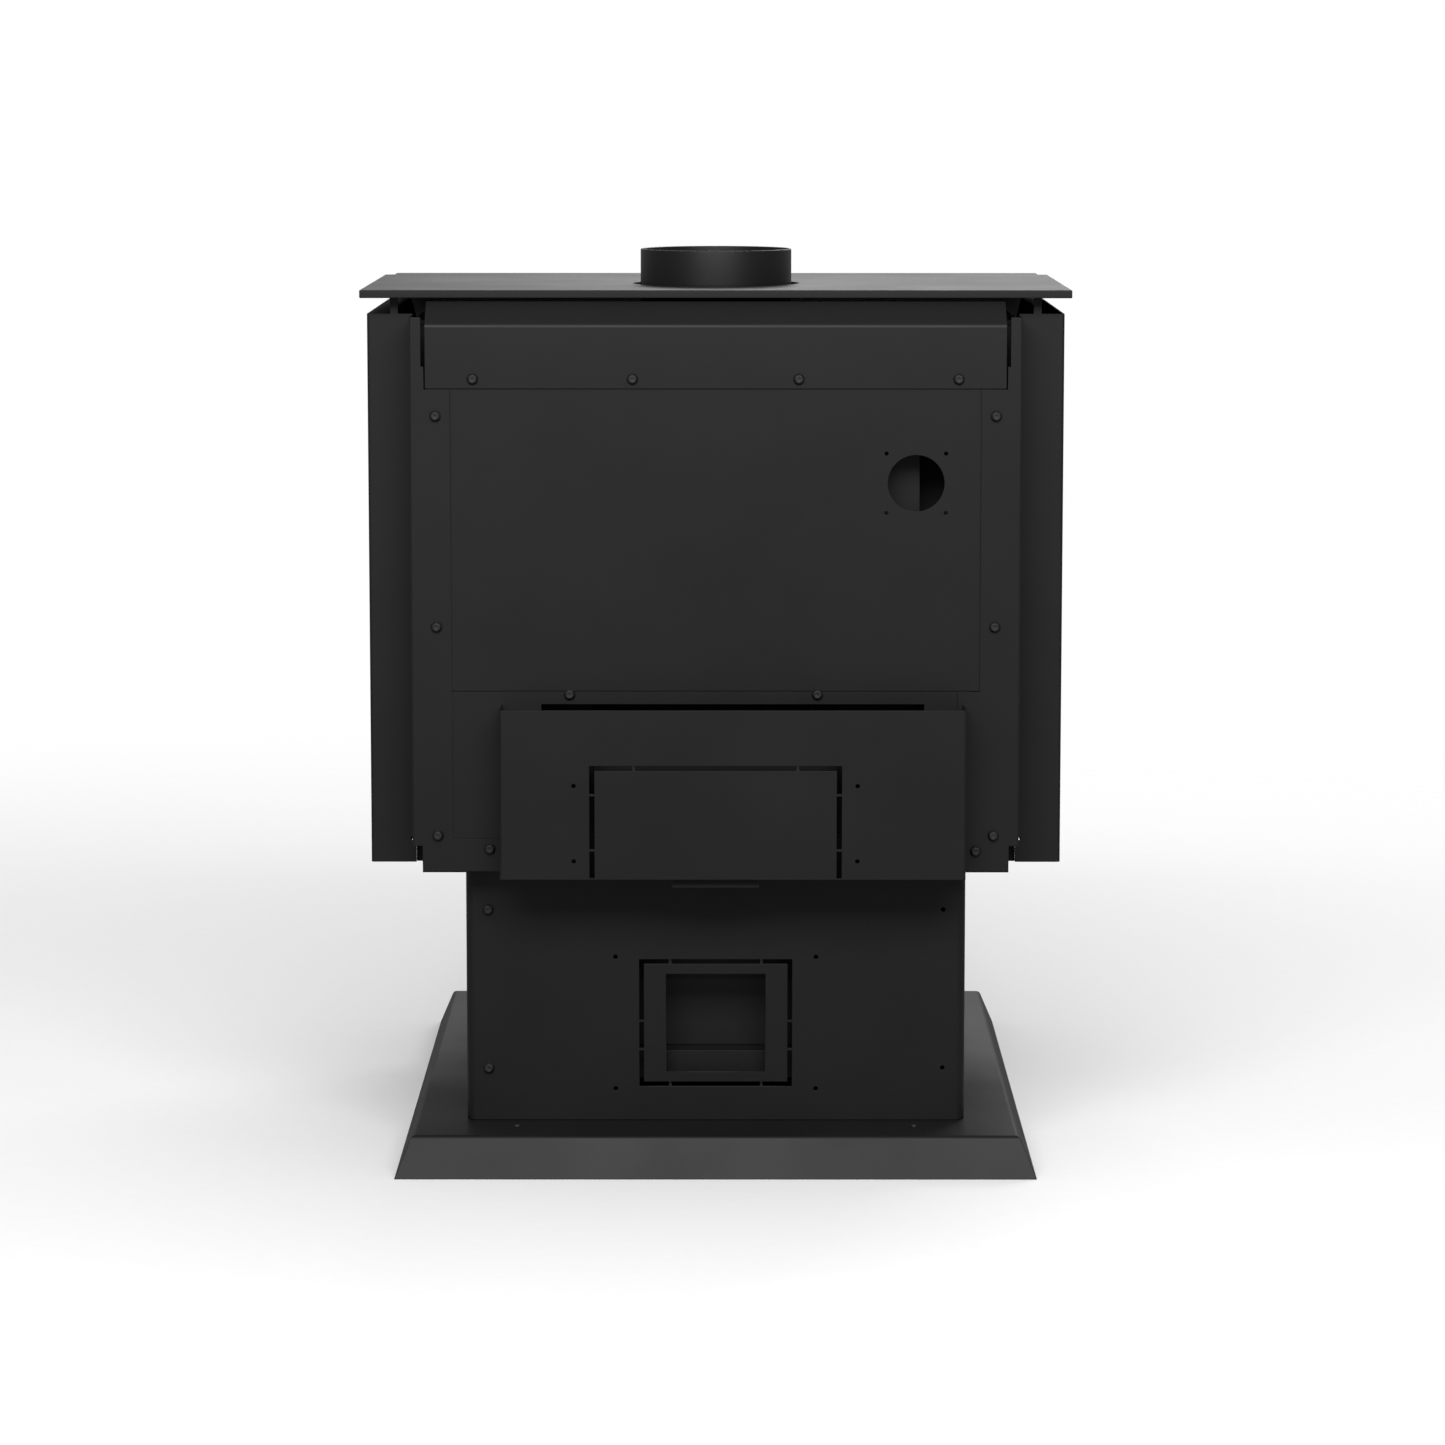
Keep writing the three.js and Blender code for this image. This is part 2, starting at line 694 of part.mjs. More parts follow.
/** A bow of bent rod: two legs and a bar. */
function ashDrawerHandle() {
  const legX = drawerHandleHalf;
  const radius = drawerHandleRadius;
  const barY = drawerFace - drawerHandleReach;
  return join(
    rodX(barY, drawerMiddle, radius, -legX - radius, legX + radius, 12),
    rodY(-legX, drawerMiddle, radius, barY, drawerFace - seat, 12),
    rodY(legX, drawerMiddle, radius, barY, drawerFace - seat, 12),
  );
}

piece('drawer_shelf', drawerShelf(), finishes.stovePaint());
piece('ash_drawer_pan', ashDrawerPan(), finishes.stovePaint());
piece('ash_drawer_front', ashDrawerFront(), finishes.stovePaint());
piece('ash_drawer_handle', ashDrawerHandle(), finishes.steel());

// ---------------------------------------------------------------- combustion air control

const airBoxFront = pedestalFront + airBoxInset;
const airBoxRear = airBoxFront + airBoxDepth;
const airRodFront = pedestalFront - airRodReach;
const damperRear = airBoxRear - damperRearGap;
const damperFront = damperRear - damperLength;
const damperLow = airBoxBottom + airBoxSheet + seat;

/** The box that leads air from the pedestal up to the firebox floor. */
function airBox() {
  const inner = airBoxHalfWidth - airBoxSheet;
  const high = fireboxBottom - seat;
  return cut(
    centredBox(airBoxHalfWidth, airBoxFront, airBoxRear, airBoxBottom, high),
    centredBox(
      inner,
      airBoxFront + airBoxSheet,
      airBoxRear - airBoxSheet,
      airBoxBottom + airBoxSheet,
      high + 1,
    ),
    centredBox(
      inner - airBoxHoleInset,
      damperFront + airBoxHoleLap,
      damperRear - airBoxHoleLap,
      airBoxBottom - 1,
      airBoxBottom + airBoxSheet + 1,
    ),
    rodY(0, airRodHeight, airRodRadius + airRodClearance, airBoxFront - 1, airBoxFront + airBoxSheet + 1),
  );
}

/** The sliding damper, with the upright that the control rod pulls on. */
function airDamper() {
  const half = airBoxHalfWidth - airBoxSheet - damperSideGap;
  const postTop = airRodHeight + 2 * airRodRadius;
  return join(
    centredBox(half, damperFront, damperRear, damperLow, damperLow + damperSheet),
    centredBox(damperPostHalf, damperFront, damperFront + damperSheet, damperLow, postTop),
  );
}

function airKnob() {
  const profile = [
    [0, 0], [knobRadius * 0.55, 0], [knobRadius * 0.75, knobLength * 0.12], [knobRadius, knobLength * 0.4],
    [knobRadius, knobLength * 0.8], [knobRadius * 0.8, knobLength], [0, knobLength],
  ].map(([r, h]) => new THREE.Vector2(r, h));
  const geometry = new THREE.LatheGeometry(profile, 20);
  geometry.rotateZ(Math.PI);
  return solid(geometry);
}

piece('air_box', airBox(), finishes.stovePaint());
piece('air_damper', airDamper(), finishes.steel());
piece(
  'air_control_rod',
  rodY(0, airRodHeight, airRodRadius, airRodFront, damperFront - seat),
  finishes.steel(),
);
piece('air_control_knob', airKnob(), finishes.spring()).position.set(0, airRodFront - seat, airRodHeight);

// ---------------------------------------------------------------- firebox

/** The height of the roof's underside: level at the rear, sloping down towards the front. */
function roofLine(y, offset = 0) {
  return roofUnderside + offset - Math.max(0, slopeStart - y) * slope;
}

/** Floor, rear and sides, welded; the front and top are open. */
function fireboxShell() {
  const outline = polygon([
    [fireboxFront, fireboxBottom],
    [fireboxRear, fireboxBottom],
    [fireboxRear, roofLine(fireboxRear, -seat)],
    [slopeStart, roofLine(slopeStart, -seat)],
    [fireboxFront, roofLine(fireboxFront, -seat)],
  ]);
  const hollow = centredBox(innerHalf, fireboxFront - 1, innerRear, floorTop, roofUnderside + 1);
  const plug = centredBox(plugHole / 2, -plugHole / 2, plugHole / 2, fireboxBottom - 1, floorTop + 1);
  const slotFront = fireboxFront + airSlotInset;
  const airSlot = centredBox(
    airSlotHalfWidth,
    slotFront,
    slotFront + airSlotDepth,
    fireboxBottom - 1,
    floorTop + 1,
  );
  const riserX = riserInner + riserWidth / 2;
  const riserHoles = [-riserX, riserX].map(
    (x) => rodY(x, riserTop - riserHoleDrop, riserHole, innerRear - 1, fireboxRear + 1),
  );
  return cut(extrudeX(outline, -fireboxWidth / 2, fireboxWidth / 2), hollow, plug, airSlot, ...riserHoles);
}

/** One plate, bent down to the front, with the flue outlet. */
function fireboxRoof() {
  const half = fireboxWidth / 2;
  const outline = polygon([
    [fireboxRear, roofUnderside],
    [fireboxRear, roofTop],
    [slopeStart, roofTop],
    [fireboxFront, roofLine(fireboxFront, fireboxPlate + seat)],
    [fireboxFront, roofLine(fireboxFront)],
    [slopeStart, roofUnderside],
  ]);
  const outlet = rodZ(0, collarY, collarDiameter / 2 - collarWall, roofUnderside - 1, roofTop + 1, 40);
  return cut(extrudeX(outline, -half, half), outlet);
}

function fireboxFrontPlate() {
  const half = fireboxWidth / 2 + frontPlateRim;
  const opening = roundedRectangle(
    -doorOpeningHalfWidth,
    doorOpeningBottom,
    doorOpeningHalfWidth,
    doorOpeningTop,
    doorOpeningCorner,
  );
  return cut(
    centredBox(half, frontFace, fireboxFront - seat, fireboxBottom, frontTop),
    extrudeY(opening, frontFace - 1, fireboxFront, 4),
  );
}

function flueCollar() {
  const low = roofTop + seat;
  return cut(
    rodZ(0, collarY, collarDiameter / 2, low, overallHeight, 48),
    rodZ(0, collarY, collarDiameter / 2 - collarWall, low - 1, overallHeight + 1, 48),
  );
}

/** A channel on the firebox's rear face, open towards the firebox and at its foot. */
function airRiser(side) {
  const wall = riserSheet;
  const [x0, x1] = [side * riserInner, side * (riserInner + riserWidth)].sort((a, b) => a - b);
  const near = fireboxRear + seat;
  return cut(
    box(x0, x1, near, fireboxRear + riserDepth, riserBottom, riserTop),
    box(x0 + wall, x1 - wall, near - 1, fireboxRear + riserDepth - wall, riserBottom - 1, riserTop - wall),
  );
}

piece('firebox_shell', fireboxShell(), finishes.stovePaint());
piece('firebox_roof', fireboxRoof(), finishes.stovePaint());
piece('firebox_front', fireboxFrontPlate(), finishes.stovePaint());
piece('flue_collar', flueCollar(), finishes.stovePaint());
piece('air_riser_left', airRiser(-1), finishes.stovePaint());
piece('air_riser_right', airRiser(1), finishes.stovePaint());

// ---------------------------------------------------------------- top plate

const notchedHalf = topWidth / 2 - topNotchWidth;

function topPlateSolid() {
  const half = topWidth / 2;
  const notchRear = topFront + topNotchDepth;
  const outline = polygon([
    [-half, topRear], [half, topRear], [half, notchRear], [notchedHalf, notchRear],
    [notchedHalf, topFront], [-notchedHalf, topFront], [-notchedHalf, notchRear], [-half, notchRear],
  ]);
  return cut(
    extrudeZ(outline, topUnderside, topSurface),
    rodZ(0, collarY, collarDiameter / 2 + collarClearance, topUnderside - 1, topSurface + 1, 48),
  );
}

/** The plate that carries on from the top plate, falling towards the front edge. */
function topBevelPlate() {
  const rear = topFront - seat;
  const front = rear - bevelRun + seat;
  const fall = (rear - front) * slope;
  const lipRear = front + topPlate;
  const outline = polygon([
    [rear, topSurface],
    [rear, topUnderside],
    [lipRear, topUnderside - fall + topPlate * slope],
    [lipRear, topSurface - fall - bevelLip],
    [front, topSurface - fall - bevelLip],
    [front, topSurface - fall],
  ]);
  return extrudeX(outline, -notchedHalf, notchedHalf);
}

piece('top_plate', topPlateSolid(), finishes.topPaint());
piece('top_bevel_plate', topBevelPlate(), finishes.topPaint());

// ---------------------------------------------------------------- convection jacket

const sideTop = topUnderside - sideTopGap;

/** A tray with a flange on every edge, cut to the slope of the top, with a tab that carries the top plate. */
function sidePanel(side) {
  const outer = sideWidth / 2;
  const inner = outer - sideFlange;
  const edges = (a, b) => [side * a, side * b].sort((p, q) => p - q);
  const [x0, x1] = edges(inner, outer);
  const [h0, h1] = edges(inner - 1, outer - sideSheet);
  const bends = side > 0 ? [0, sideBend, sideBend, 0] : [sideBend, 0, 0, sideBend];
  const tight = bends.map((r) => Math.max(0, r - sideSheet));
  const folded = cut(
    extrudeZ(roundedRectangle(x0, sideFront, x1, sideRear, bends), sideBottom, sideTop, 4),
    extrudeZ(
      roundedRectangle(h0, sideFront + sideSheet, h1, sideRear - sideSheet, tight),
      sideBottom - 1,
      sideTop + 1,
      3,
    ),
  );
  const above = sideTop + slopeDrop;
  const wedge = extrudeX(polygon([
    [topFront, sideTop],
    [topFront, above],
    [sideFront - 1, above],
    [sideFront - 1, sideTop - (topFront - sideFront + 1) * slope],
  ]), x0 - 1, x1 + 1);
  const frontTopEdge = sideTop - (topFront - sideFront) * slope;
  const topFlange = extrudeX(polygon([
    [sideRear - 1, sideTop],
    [topFront, sideTop],
    [sideFront + 1, frontTopEdge + slope],
    [sideFront + 1, frontTopEdge + slope - sideSheet],
    [topFront, sideTop - sideSheet],
    [sideRear - 1, sideTop - sideSheet],
  ]), ...edges(outer - sideTopFlange, outer - sideSheet / 2));
  const [f0, f1] = edges(outer - sideFootFlange, outer - sideSheet / 2);
  const footFlange = box(f0, f1, sideFront + 1, sideRear - 1, sideBottom, sideBottom + sideSheet);
  const tabOuter = outer - sideTabInset + sideTabWidth / 2;
  const [t0, t1] = edges(tabOuter - sideTabWidth, tabOuter);
  const tab = box(t0, t1, sideRear - sideSheet, sideRear, sideTop - 1, topUnderside - seat);
  const holeX = side * (inner + sideHoleInset);
  const hole = rodY(holeX, sideBottom + sideHoleRise, sideHole, sideRear - sideSheet - 1, sideRear + 1, 10);
  return cut(join(cut(folded, wedge), topFlange, footFlange, tab), hole);
}

piece('side_panel_left', sidePanel(-1), finishes.stovePaint());
piece('side_panel_right', sidePanel(1), finishes.stovePaint());

const frameFront = shieldRear - shieldSheet;
const panelRear = frameFront - seat;
const panelFront = panelRear - shieldSheet;
const shieldWallFront = sideRear + shieldWallGap;

/** Two legs with side walls and the skirt that joins them below. */
function rearFrame() {
  const upper = lipPanelHalfWidth + lipPanelGap;
  const slotEdge = lipPanelHalfWidth + lipSlotWidth;
  const lipSlotBottom = shieldTop - lipSlotDrop;
  const face = extrudeY(polygon([
    [-skirtHalfWidth, skirtBottom],
    [skirtHalfWidth, skirtBottom],
    [skirtHalfWidth, shieldLegBottom],
    [shieldHalfWidth, shieldLegBottom],
    [shieldHalfWidth, shieldTop],
    [slotEdge, shieldTop],
    [slotEdge, lipSlotBottom],
    [upper, lipSlotBottom],
    [upper, windowTop - 1],
    [windowHalfWidth, windowTop - 1],
    [windowHalfWidth, windowBottom],
    [-lowerPanelEdge, windowBottom],
    [-lowerPanelEdge, lowerPanelTop],
    [-windowHalfWidth, lowerPanelTop],
    [-windowHalfWidth, windowTop - 1],
    [-upper, windowTop - 1],
    [-upper, lipSlotBottom],
    [-slotEdge, lipSlotBottom],
    [-slotEdge, shieldTop],
    [-shieldHalfWidth, shieldTop],
    [-shieldHalfWidth, shieldLegBottom],
    [-skirtHalfWidth, shieldLegBottom],
  ]), frameFront, shieldRear);
  const walls = [-1, 1].map((side) => {
    const [x0, x1] = [side * (shieldHalfWidth - shieldSheet), side * shieldHalfWidth].sort((a, b) => a - b);
    return box(x0, x1, shieldWallFront, shieldRear, shieldLegBottom, shieldTop);
  });
  const hemTop = skirtBottom + shieldSheet;
  const hem = centredBox(skirtHalfWidth, frameFront - skirtHem, shieldRear, skirtBottom, hemTop);
  return join(face, ...walls, hem);
}

/** The panel above the window, its top edge bent in under the top plate. */
function rearLipPanel() {
  const sheet = shieldSheet;
  const outline = polygon([
    [shieldRear, windowTop],
    [shieldRear, lipBend],
    [shieldRear - lipLean, lipBend + lipRise],
    [shieldRear - lipLean - sheet * 0.8, lipBend + lipRise - sheet],
    [shieldRear - sheet, lipBend - sheet * 0.5],
    [shieldRear - sheet, windowTop],
  ]);
  return extrudeX(outline, -lipPanelHalfWidth, lipPanelHalfWidth);
}

/** The panel behind the frame's window, with the round service port and its screw holes. */
function rearCentrePanel() {
  const half = windowHalfWidth + panelOverlap;
  const portZ = windowTop - portDrop;
  const through = [panelFront - 1, panelRear + 1];
  const span = portScrewSpan / 2;
  const holes = [-span, span].flatMap(
    (dx) => [-span, span].map((dz) => rodY(portX + dx, portZ + dz, portScrewHole, ...through, 10)),
  );
  return cut(
    centredBox(half, panelFront, panelRear, lowerPanelTop + seat, windowTop + panelOverlapTop),
    rodY(portX, portZ, portDiameter / 2, ...through, 36),
    ...holes,
  );
}

/** The panel behind the duct cover, with the window that the blown air passes through. */
function rearLowerPanel() {
  const half = windowHalfWidth + panelOverlap;
  const [x0, x1] = [ductLeft + blownWindowInset, ductRight - blownWindowInset];
  return cut(
    centredBox(half, panelFront, panelRear, windowBottom - panelOverlapBottom, lowerPanelTop - seat),
    box(x0, x1, panelFront - 1, panelRear + 1, blownWindowBottom, blownWindowTop),
  );
}

/** A shallow tray open at the top and towards the shield, with a bridged blower knock-out. */
function ductCover() {
  const sheet = shieldSheet;
  const rear = shieldRear + ductDepth;
  const near = shieldRear + seat;
  const shell = cut(
    box(ductLeft, ductRight, near, rear, ductBottom, ductTop),
    box(ductLeft + sheet, ductRight - sheet, near - 1, rear - sheet, ductBottom + sheet, ductTop + 1),
  );
  const topHem = box(ductLeft, ductRight, rear - sheet * 2, rear, ductTop - ductHem, ductTop);
  const tongueLow = ductBottom - ductTongueDrop;
  const tongue = centredBox(ductTongueHalf, rear - sheet * 2, rear - sheet, tongueLow, ductBottom + sheet);
  const through = [rear - sheet - 1, rear + 1];
  const low = ductBottom + sheet;
  const cuts = [];
  const tabs = blowerTabDrops.map((drop) => blowerTop - drop);
  for (const [a, b] of slotRuns(low, blowerTop, tabs, knockoutTab)) {
    cuts.push(box(-blowerHalfWidth, -blowerHalfWidth + blowerSlot, ...through, a, b));
    cuts.push(box(blowerHalfWidth - blowerSlot, blowerHalfWidth, ...through, a, b));
  }
  for (const [a, b] of slotRuns(-blowerHalfWidth, blowerHalfWidth, [-blowerTabX, blowerTabX], knockoutTab)) {
    cuts.push(box(a, b, ...through, blowerTop - blowerSlot, blowerTop));
  }
  for (const x of [-blowerScrewX, blowerScrewX]) {
    for (const z of blowerScrewHeights) cuts.push(rodY(x, z, sheetScrewHole, ...through, 10));
  }
  return cut(join(shell, topHem, tongue), ...cuts);
}

piece('rear_frame', rearFrame(), finishes.stovePaint());
piece('rear_lip_panel', rearLipPanel(), finishes.stovePaint());
piece('rear_centre_panel', rearCentrePanel(), finishes.stovePaint());
piece('rear_lower_panel', rearLowerPanel(), finishes.stovePaint());
piece('duct_cover', ductCover(), finishes.stovePaint());

// ---------------------------------------------------------------- lining and baffle

const liningHalf = innerHalf - seat;
const floorLow = floorTop + seat;
const floorHigh = floorLow + brick;
const liningRear = innerRear - seat;
const liningFront = fireboxFront + brickSetback;
const floorRear = liningRear - brick - seat;
const plugRoom = plugHole / 2 + plugMargin;

/** Four slabs around the ash plug, leaving a trench for the air ahead of them. */
function floorBricks() {
  return {
    floor_brick_left: box(-liningHalf, -plugRoom, liningFront, floorRear, floorLow, floorHigh),
    floor_brick_right: box(plugRoom, liningHalf, liningFront, floorRear, floorLow, floorHigh),
    floor_brick_front: centredBox(
      plugRoom - brickJoint,
      liningFront + airTrench,
      -plugRoom,
      floorLow,
      floorHigh,
    ),
    floor_brick_rear: centredBox(plugRoom - brickJoint, plugRoom, floorRear, floorLow, floorHigh),
  };
}

for (const [name, slab] of Object.entries(floorBricks())) piece(name, slab, finishes.firebrick());

piece(
  'rear_brick_left',
  box(-liningHalf, -brickJoint / 2, liningRear - brick, liningRear, floorLow, brickTop),
  finishes.firebrick(),
);
piece(
  'rear_brick_right',
  box(brickJoint / 2, liningHalf, liningRear - brick, liningRear, floorLow, brickTop),
  finishes.firebrick(),
);

const sideBrickMiddle = (liningFront + floorRear) / 2;
for (const [sideName, side] of [['left', -1], ['right', 1]]) {
  for (const [rowName, y0, y1] of [
    ['front', liningFront, sideBrickMiddle - brickJoint / 2],
    ['rear', sideBrickMiddle + brickJoint / 2, floorRear],
  ]) {
    const [x0, x1] = [side * (liningHalf - brick), side * liningHalf].sort((a, b) => a - b);
    const slab = box(x0, x1, y0, y1, floorHigh + seat, brickTop);
    piece(`side_brick_${sideName}_${rowName}`, slab, finishes.firebrick());
  }
}

/** A perforated tube's plain wall, from one side plate to the other. */
function airTube() {
  const half = innerHalf - seat;
  return cut(
    rodX(0, 0, tubeDiameter / 2, -half, half, 20),
    rodX(0, 0, tubeDiameter / 2 - tubeWall, -half - 1, half + 1, 20),
  );
}

const baffleFront = fireboxFront + baffleFrontGap;
const tubeFirst = baffleFront + tubeSetback;
const tubeSpacing = (liningRear - brick - tubeRearGap - tubeFirst) / (tubeCount - 1);
for (let i = 0; i < tubeCount; i += 1) {
  const y = tubeFirst + i * tubeSpacing;
  piece(`secondary_air_tube_${i + 1}`, airTube(), finishes.stainless()).position.set(0, y, tubeHeight);
}

const baffleLow = tubeHeight + tubeDiameter / 2 + seat;
const baffleHigh = baffleLow + baffleThickness;
piece(
  'baffle_board_left',
  box(-liningHalf, -brickJoint / 2, baffleFront, liningRear, baffleLow, baffleHigh),
  finishes.board(),
);
piece(
  'baffle_board_right',
  box(brickJoint / 2, liningHalf, baffleFront, liningRear, baffleLow, baffleHigh),
  finishes.board(),
);
const [blanketSide, blanketEnd] = blanketInset;
piece(
  'baffle_blanket',
  centredBox(
    liningHalf - blanketSide,
    baffleFront + blanketEnd,
    liningRear - blanketEnd,
    baffleHigh + seat,
    baffleHigh + seat + blanketThickness,
  ),
  finishes.rope(),
);

/** A cast lid over the ash hole: a flange, a spigot in the hole, and a lifting bar. */
function ashPlug() {
  const flange = plugHole / 2 + plugFlange;
  const spigot = plugHole / 2 - plugFlange;
  const top = floorTop + seat + plugThickness;
  const barZ = top + plugBarRise;
  const legX = plugBarHalf - plugBarRadius;
  return join(
    centredBox(flange, -flange, flange, floorTop + seat, top),
    centredBox(spigot, -spigot, spigot, fireboxBottom - plugFlange, floorTop + 1),
    rodX(0, barZ, plugBarRadius, -plugBarHalf, plugBarHalf, 12),
    rodZ(-legX, 0, plugBarRadius, top - 1, barZ, 12),
    rodZ(legX, 0, plugBarRadius, top - 1, barZ, 12),
  );
}

piece('ash_plug', ashPlug(), finishes.castIron());

// ---------------------------------------------------------------- door

const doorRear = frontFace - doorStandoff;
const doorMid = doorRear - doorBody;
const doorFace = doorMid - doorFlange;
const hingeY = frontFace - hingeAxisStandoff;
const opening = [-doorOpeningHalfWidth, doorOpeningBottom, doorOpeningHalfWidth, doorOpeningTop];

/** The door opening's rectangle made larger or smaller all round, with its corner radius. */
function aroundOpening(by, radius) {
  const [x0, z0, x1, z1] = opening;
  return roundedRectangle(x0 - by, z0 - by, x1 + by, z1 + by, radius);
}

const glassRecess = -glassMargin;
const glassSize = glassRecess - glassClearance;

function ropeRing(outerBy, innerBy, y0, y1) {
  const [outerCorner, innerCorner] = ropeCorners;
  return cut(
    extrudeY(aroundOpening(outerBy, outerCorner), y0, y1, 4),
    extrudeY(aroundOpening(innerBy, innerCorner), y0 - 1, y1 + 1, 4),
  );
}

/** A cast frame: a thin flange all round, a thicker body with the glass recess and rope groove. */
function doorFrame() {
  const bodyHalf = doorHalfWidth - doorBodyMargin;
  const [bodyLow, bodyHigh] = [doorBottom + doorBodyMarginEnds, doorTop - doorBodyMarginEnds];
  const flange = roundedRectangle(-doorHalfWidth, doorBottom, doorHalfWidth, doorTop, doorCorner);
  const body = roundedRectangle(-bodyHalf, bodyLow, bodyHalf, bodyHigh, doorBodyCorner);
  const lugs = hingeHeights.flatMap((z) => [
    rodZ(hingeAxisX, hingeY, knuckleRadius, z, z + knuckleHeight, 20),
    box(
      hingeAxisX,
      -doorHalfWidth + lugLap,
      doorMid - lugDepth,
      doorMid - knuckleGap,
      z,
      z + knuckleHeight,
    ),
  ]);
  const bores = hingeHeights.map(
    (z) => rodZ(hingeAxisX, hingeY, pinRadius + pinClearance, z - 1, z + knuckleHeight + 1, 16),
  );
  return cut(
    join(
      extrudeY(flange, doorFace, doorMid, 4),
      extrudeY(body, doorMid - 1, doorRear, 4),
      ...lugs,
    ),
    extrudeY(aroundOpening(-windowMargin, windowCorner), doorFace - 1, doorRear + 1, 4),
    extrudeY(aroundOpening(glassRecess, glassCorner), doorMid, doorRear + 1, 3),
    ropeRing(ropeGap + ropeWidth, ropeGap, doorRear - ropeGroove, doorRear + 1),
    rodY(handleX, handleZ, handleRadius + handleClearance, doorFace - 1, doorMid + 1),
    ...bores,
  );
}

const gasketFront = doorMid + seat;
const gasketRear = gasketFront + gasketThickness;
const glassFront = gasketRear + seat;
const glassRear = glassFront + glassThickness;
const clipFront = glassRear + seat;
const clipRear = clipFront + retainerSheet;

function glassGasket() {
  const hole = aroundOpening(gasketLap - windowMargin, windowCorner / 2);
  return cut(
    extrudeY(aroundOpening(glassSize, glassCorner), gasketFront, gasketRear, 3),
    extrudeY(hole, gasketFront - 1, gasketRear + 1, 3),
  );
}

/** A strip across the top or bottom edge of the glass. */
function glassRetainer(z0) {
  const half = doorOpeningHalfWidth + glassSize - retainerEndInset;
  return centredBox(half, clipFront, clipRear, z0, z0 + retainerWidth);
}

/** The fixed knuckle, below the door's, on a leaf that lies on the front plate. */
function hingeBracket() {
  const low = -knuckleHeight - knuckleGap;
  const near = frontFace - seat;
  const [away, towards] = hingeLeafReach;
  return cut(
    join(
      rodZ(hingeAxisX, hingeY, knuckleRadius, low, -knuckleGap, 20),
      box(hingeAxisX - knuckleRadius, hingeAxisX + knuckleRadius, hingeY, near, low, -knuckleGap),
      box(
        hingeAxisX - away,
        hingeAxisX + towards,
        near - hingeLeafSheet,
        near,
        low - hingeLeafRise,
        hingeLeafRise,
      ),
    ),
    rodZ(hingeAxisX, hingeY, pinRadius + pinClearance, low - 1, knuckleGap, 16),
  );
}

function hingePin() {
  return join(
    rodZ(0, 0, pinRadius, -knuckleHeight, knuckleHeight + 1, 16),
    rodZ(0, 0, pinRadius + pinHeadRim, knuckleHeight + seat, knuckleHeight + pinHeadHeight, 16),
  );
}

const doorGroup = new THREE.Group();
model.add(doorGroup);
piece('door_frame', doorFrame(), finishes.castIron(), doorGroup);
piece('glass_gasket', glassGasket(), finishes.rope(), doorGroup);
piece(
  'door_glass',
  extrudeY(aroundOpening(glassSize, glassCorner), glassFront, glassRear, 3),
  finishes.glass(),
  doorGroup,
);
piece(
  'glass_retainer_bottom',
  glassRetainer(doorOpeningBottom - glassSize + retainerInset),
  finishes.steel(),
  doorGroup,
);
piece(
  'glass_retainer_top',
  glassRetainer(doorOpeningTop + glassSize - retainerInset - retainerWidth),
  finishes.steel(),
  doorGroup,
);
piece(
  'door_gasket',
  ropeRing(ropeGap + ropeWidth - seat, ropeGap + seat, doorRear - ropeGroove + seat, frontFace - seat),
  finishes.rope(),
  doorGroup,
);
hingeHeights.forEach((z, i) => {
  const level = ['lower', 'upper'][i];
  piece(`hinge_bracket_${level}`, hingeBracket(), finishes.castIron()).position.set(0, 0, z);
  piece(`hinge_pin_${level}`, hingePin(), finishes.steel()).position.set(hingeAxisX, hingeY, z);
});

// ---------------------------------------------------------------- handle and latch

const gripY = doorFace - handleReach;
const camFront = doorMid + camStandoff;
const camRear = camFront + camThickness;

/** A rod through the door, bent down in front of it. */
function doorHandle() {
  return join(
    rodY(handleX, handleZ, handleRadius, gripY, camRear + 1),
    rodZ(handleX, gripY, handleRadius, handleZ - handleDrop, handleZ + handleRadius),
  );
}

function handleGrip() {
  const low = handleZ - handleDrop + gripFootGap;
  return cut(
    rodZ(handleX, gripY, gripRadius, low, low + gripLength, 20),
    rodZ(handleX, gripY, handleRadius + seat, low - 1, low + gripLength + 1, 16),
  );
}

/** A finger that points down when the door is free, and turns behind the catch. */
function latchCam() {
  const half = camWidth / 2;
  const outline = roundedRectangle(
    handleX - half,
    handleZ - camReach,
    handleX + half,
    handleZ + half + 1,
    [camCorner, camCorner, half - 0.1, half - 0.1],
  );
  return cut(
    extrudeY(outline, camFront, camRear, 4),
    rodY(handleX, handleZ, handleRadius + seat, camFront - 1, camRear + 1, 16),
  );
}

/** A hook on the front plate: the cam turns in behind its lip. */
function latchCatch() {
  const near = frontFace - seat;
  const lipRear = camFront - catchGap;
  const lipFront = lipRear - catchSheet;
  const postX = handleX + camReach + catchPostGap;
  const low = handleZ - catchHalfHeight;
  const high = handleZ + catchHalfHeight;
  return join(
    box(postX, postX + catchPost, lipFront, near, low, high),
    box(doorHalfWidth + catchEdgeGap, postX + catchPost, lipFront, lipRear, low, high),
    box(
      postX,
      postX + catchFoot,
      near - catchFootSheet,
      near,
      low - catchFootRise,
      high + catchFootRise,
    ),
  );
}

piece('door_handle', doorHandle(), finishes.steel(), doorGroup);
piece('handle_grip', handleGrip(), finishes.spring(), doorGroup);
piece('latch_cam', latchCam(), finishes.steel(), doorGroup);
piece('latch_catch', latchCatch(), finishes.steel());

/** A shelf in front of the door, with an upturned front edge. */
function ashLip() {
  const near = frontFace - seat;
  const far = near - ashLipReach;
  return join(
    centredBox(ashLipHalfWidth, far, near, ashLipHeight, ashLipHeight + ashLipSheet),
    centredBox(ashLipHalfWidth, near - ashLipSheet, near, ashLipHeight, doorBottom - ashLipGap),
    centredBox(ashLipHalfWidth, far, far + ashLipSheet, ashLipHeight - ashLipDrop, ashLipHeight + ashLipRim),
  );
}

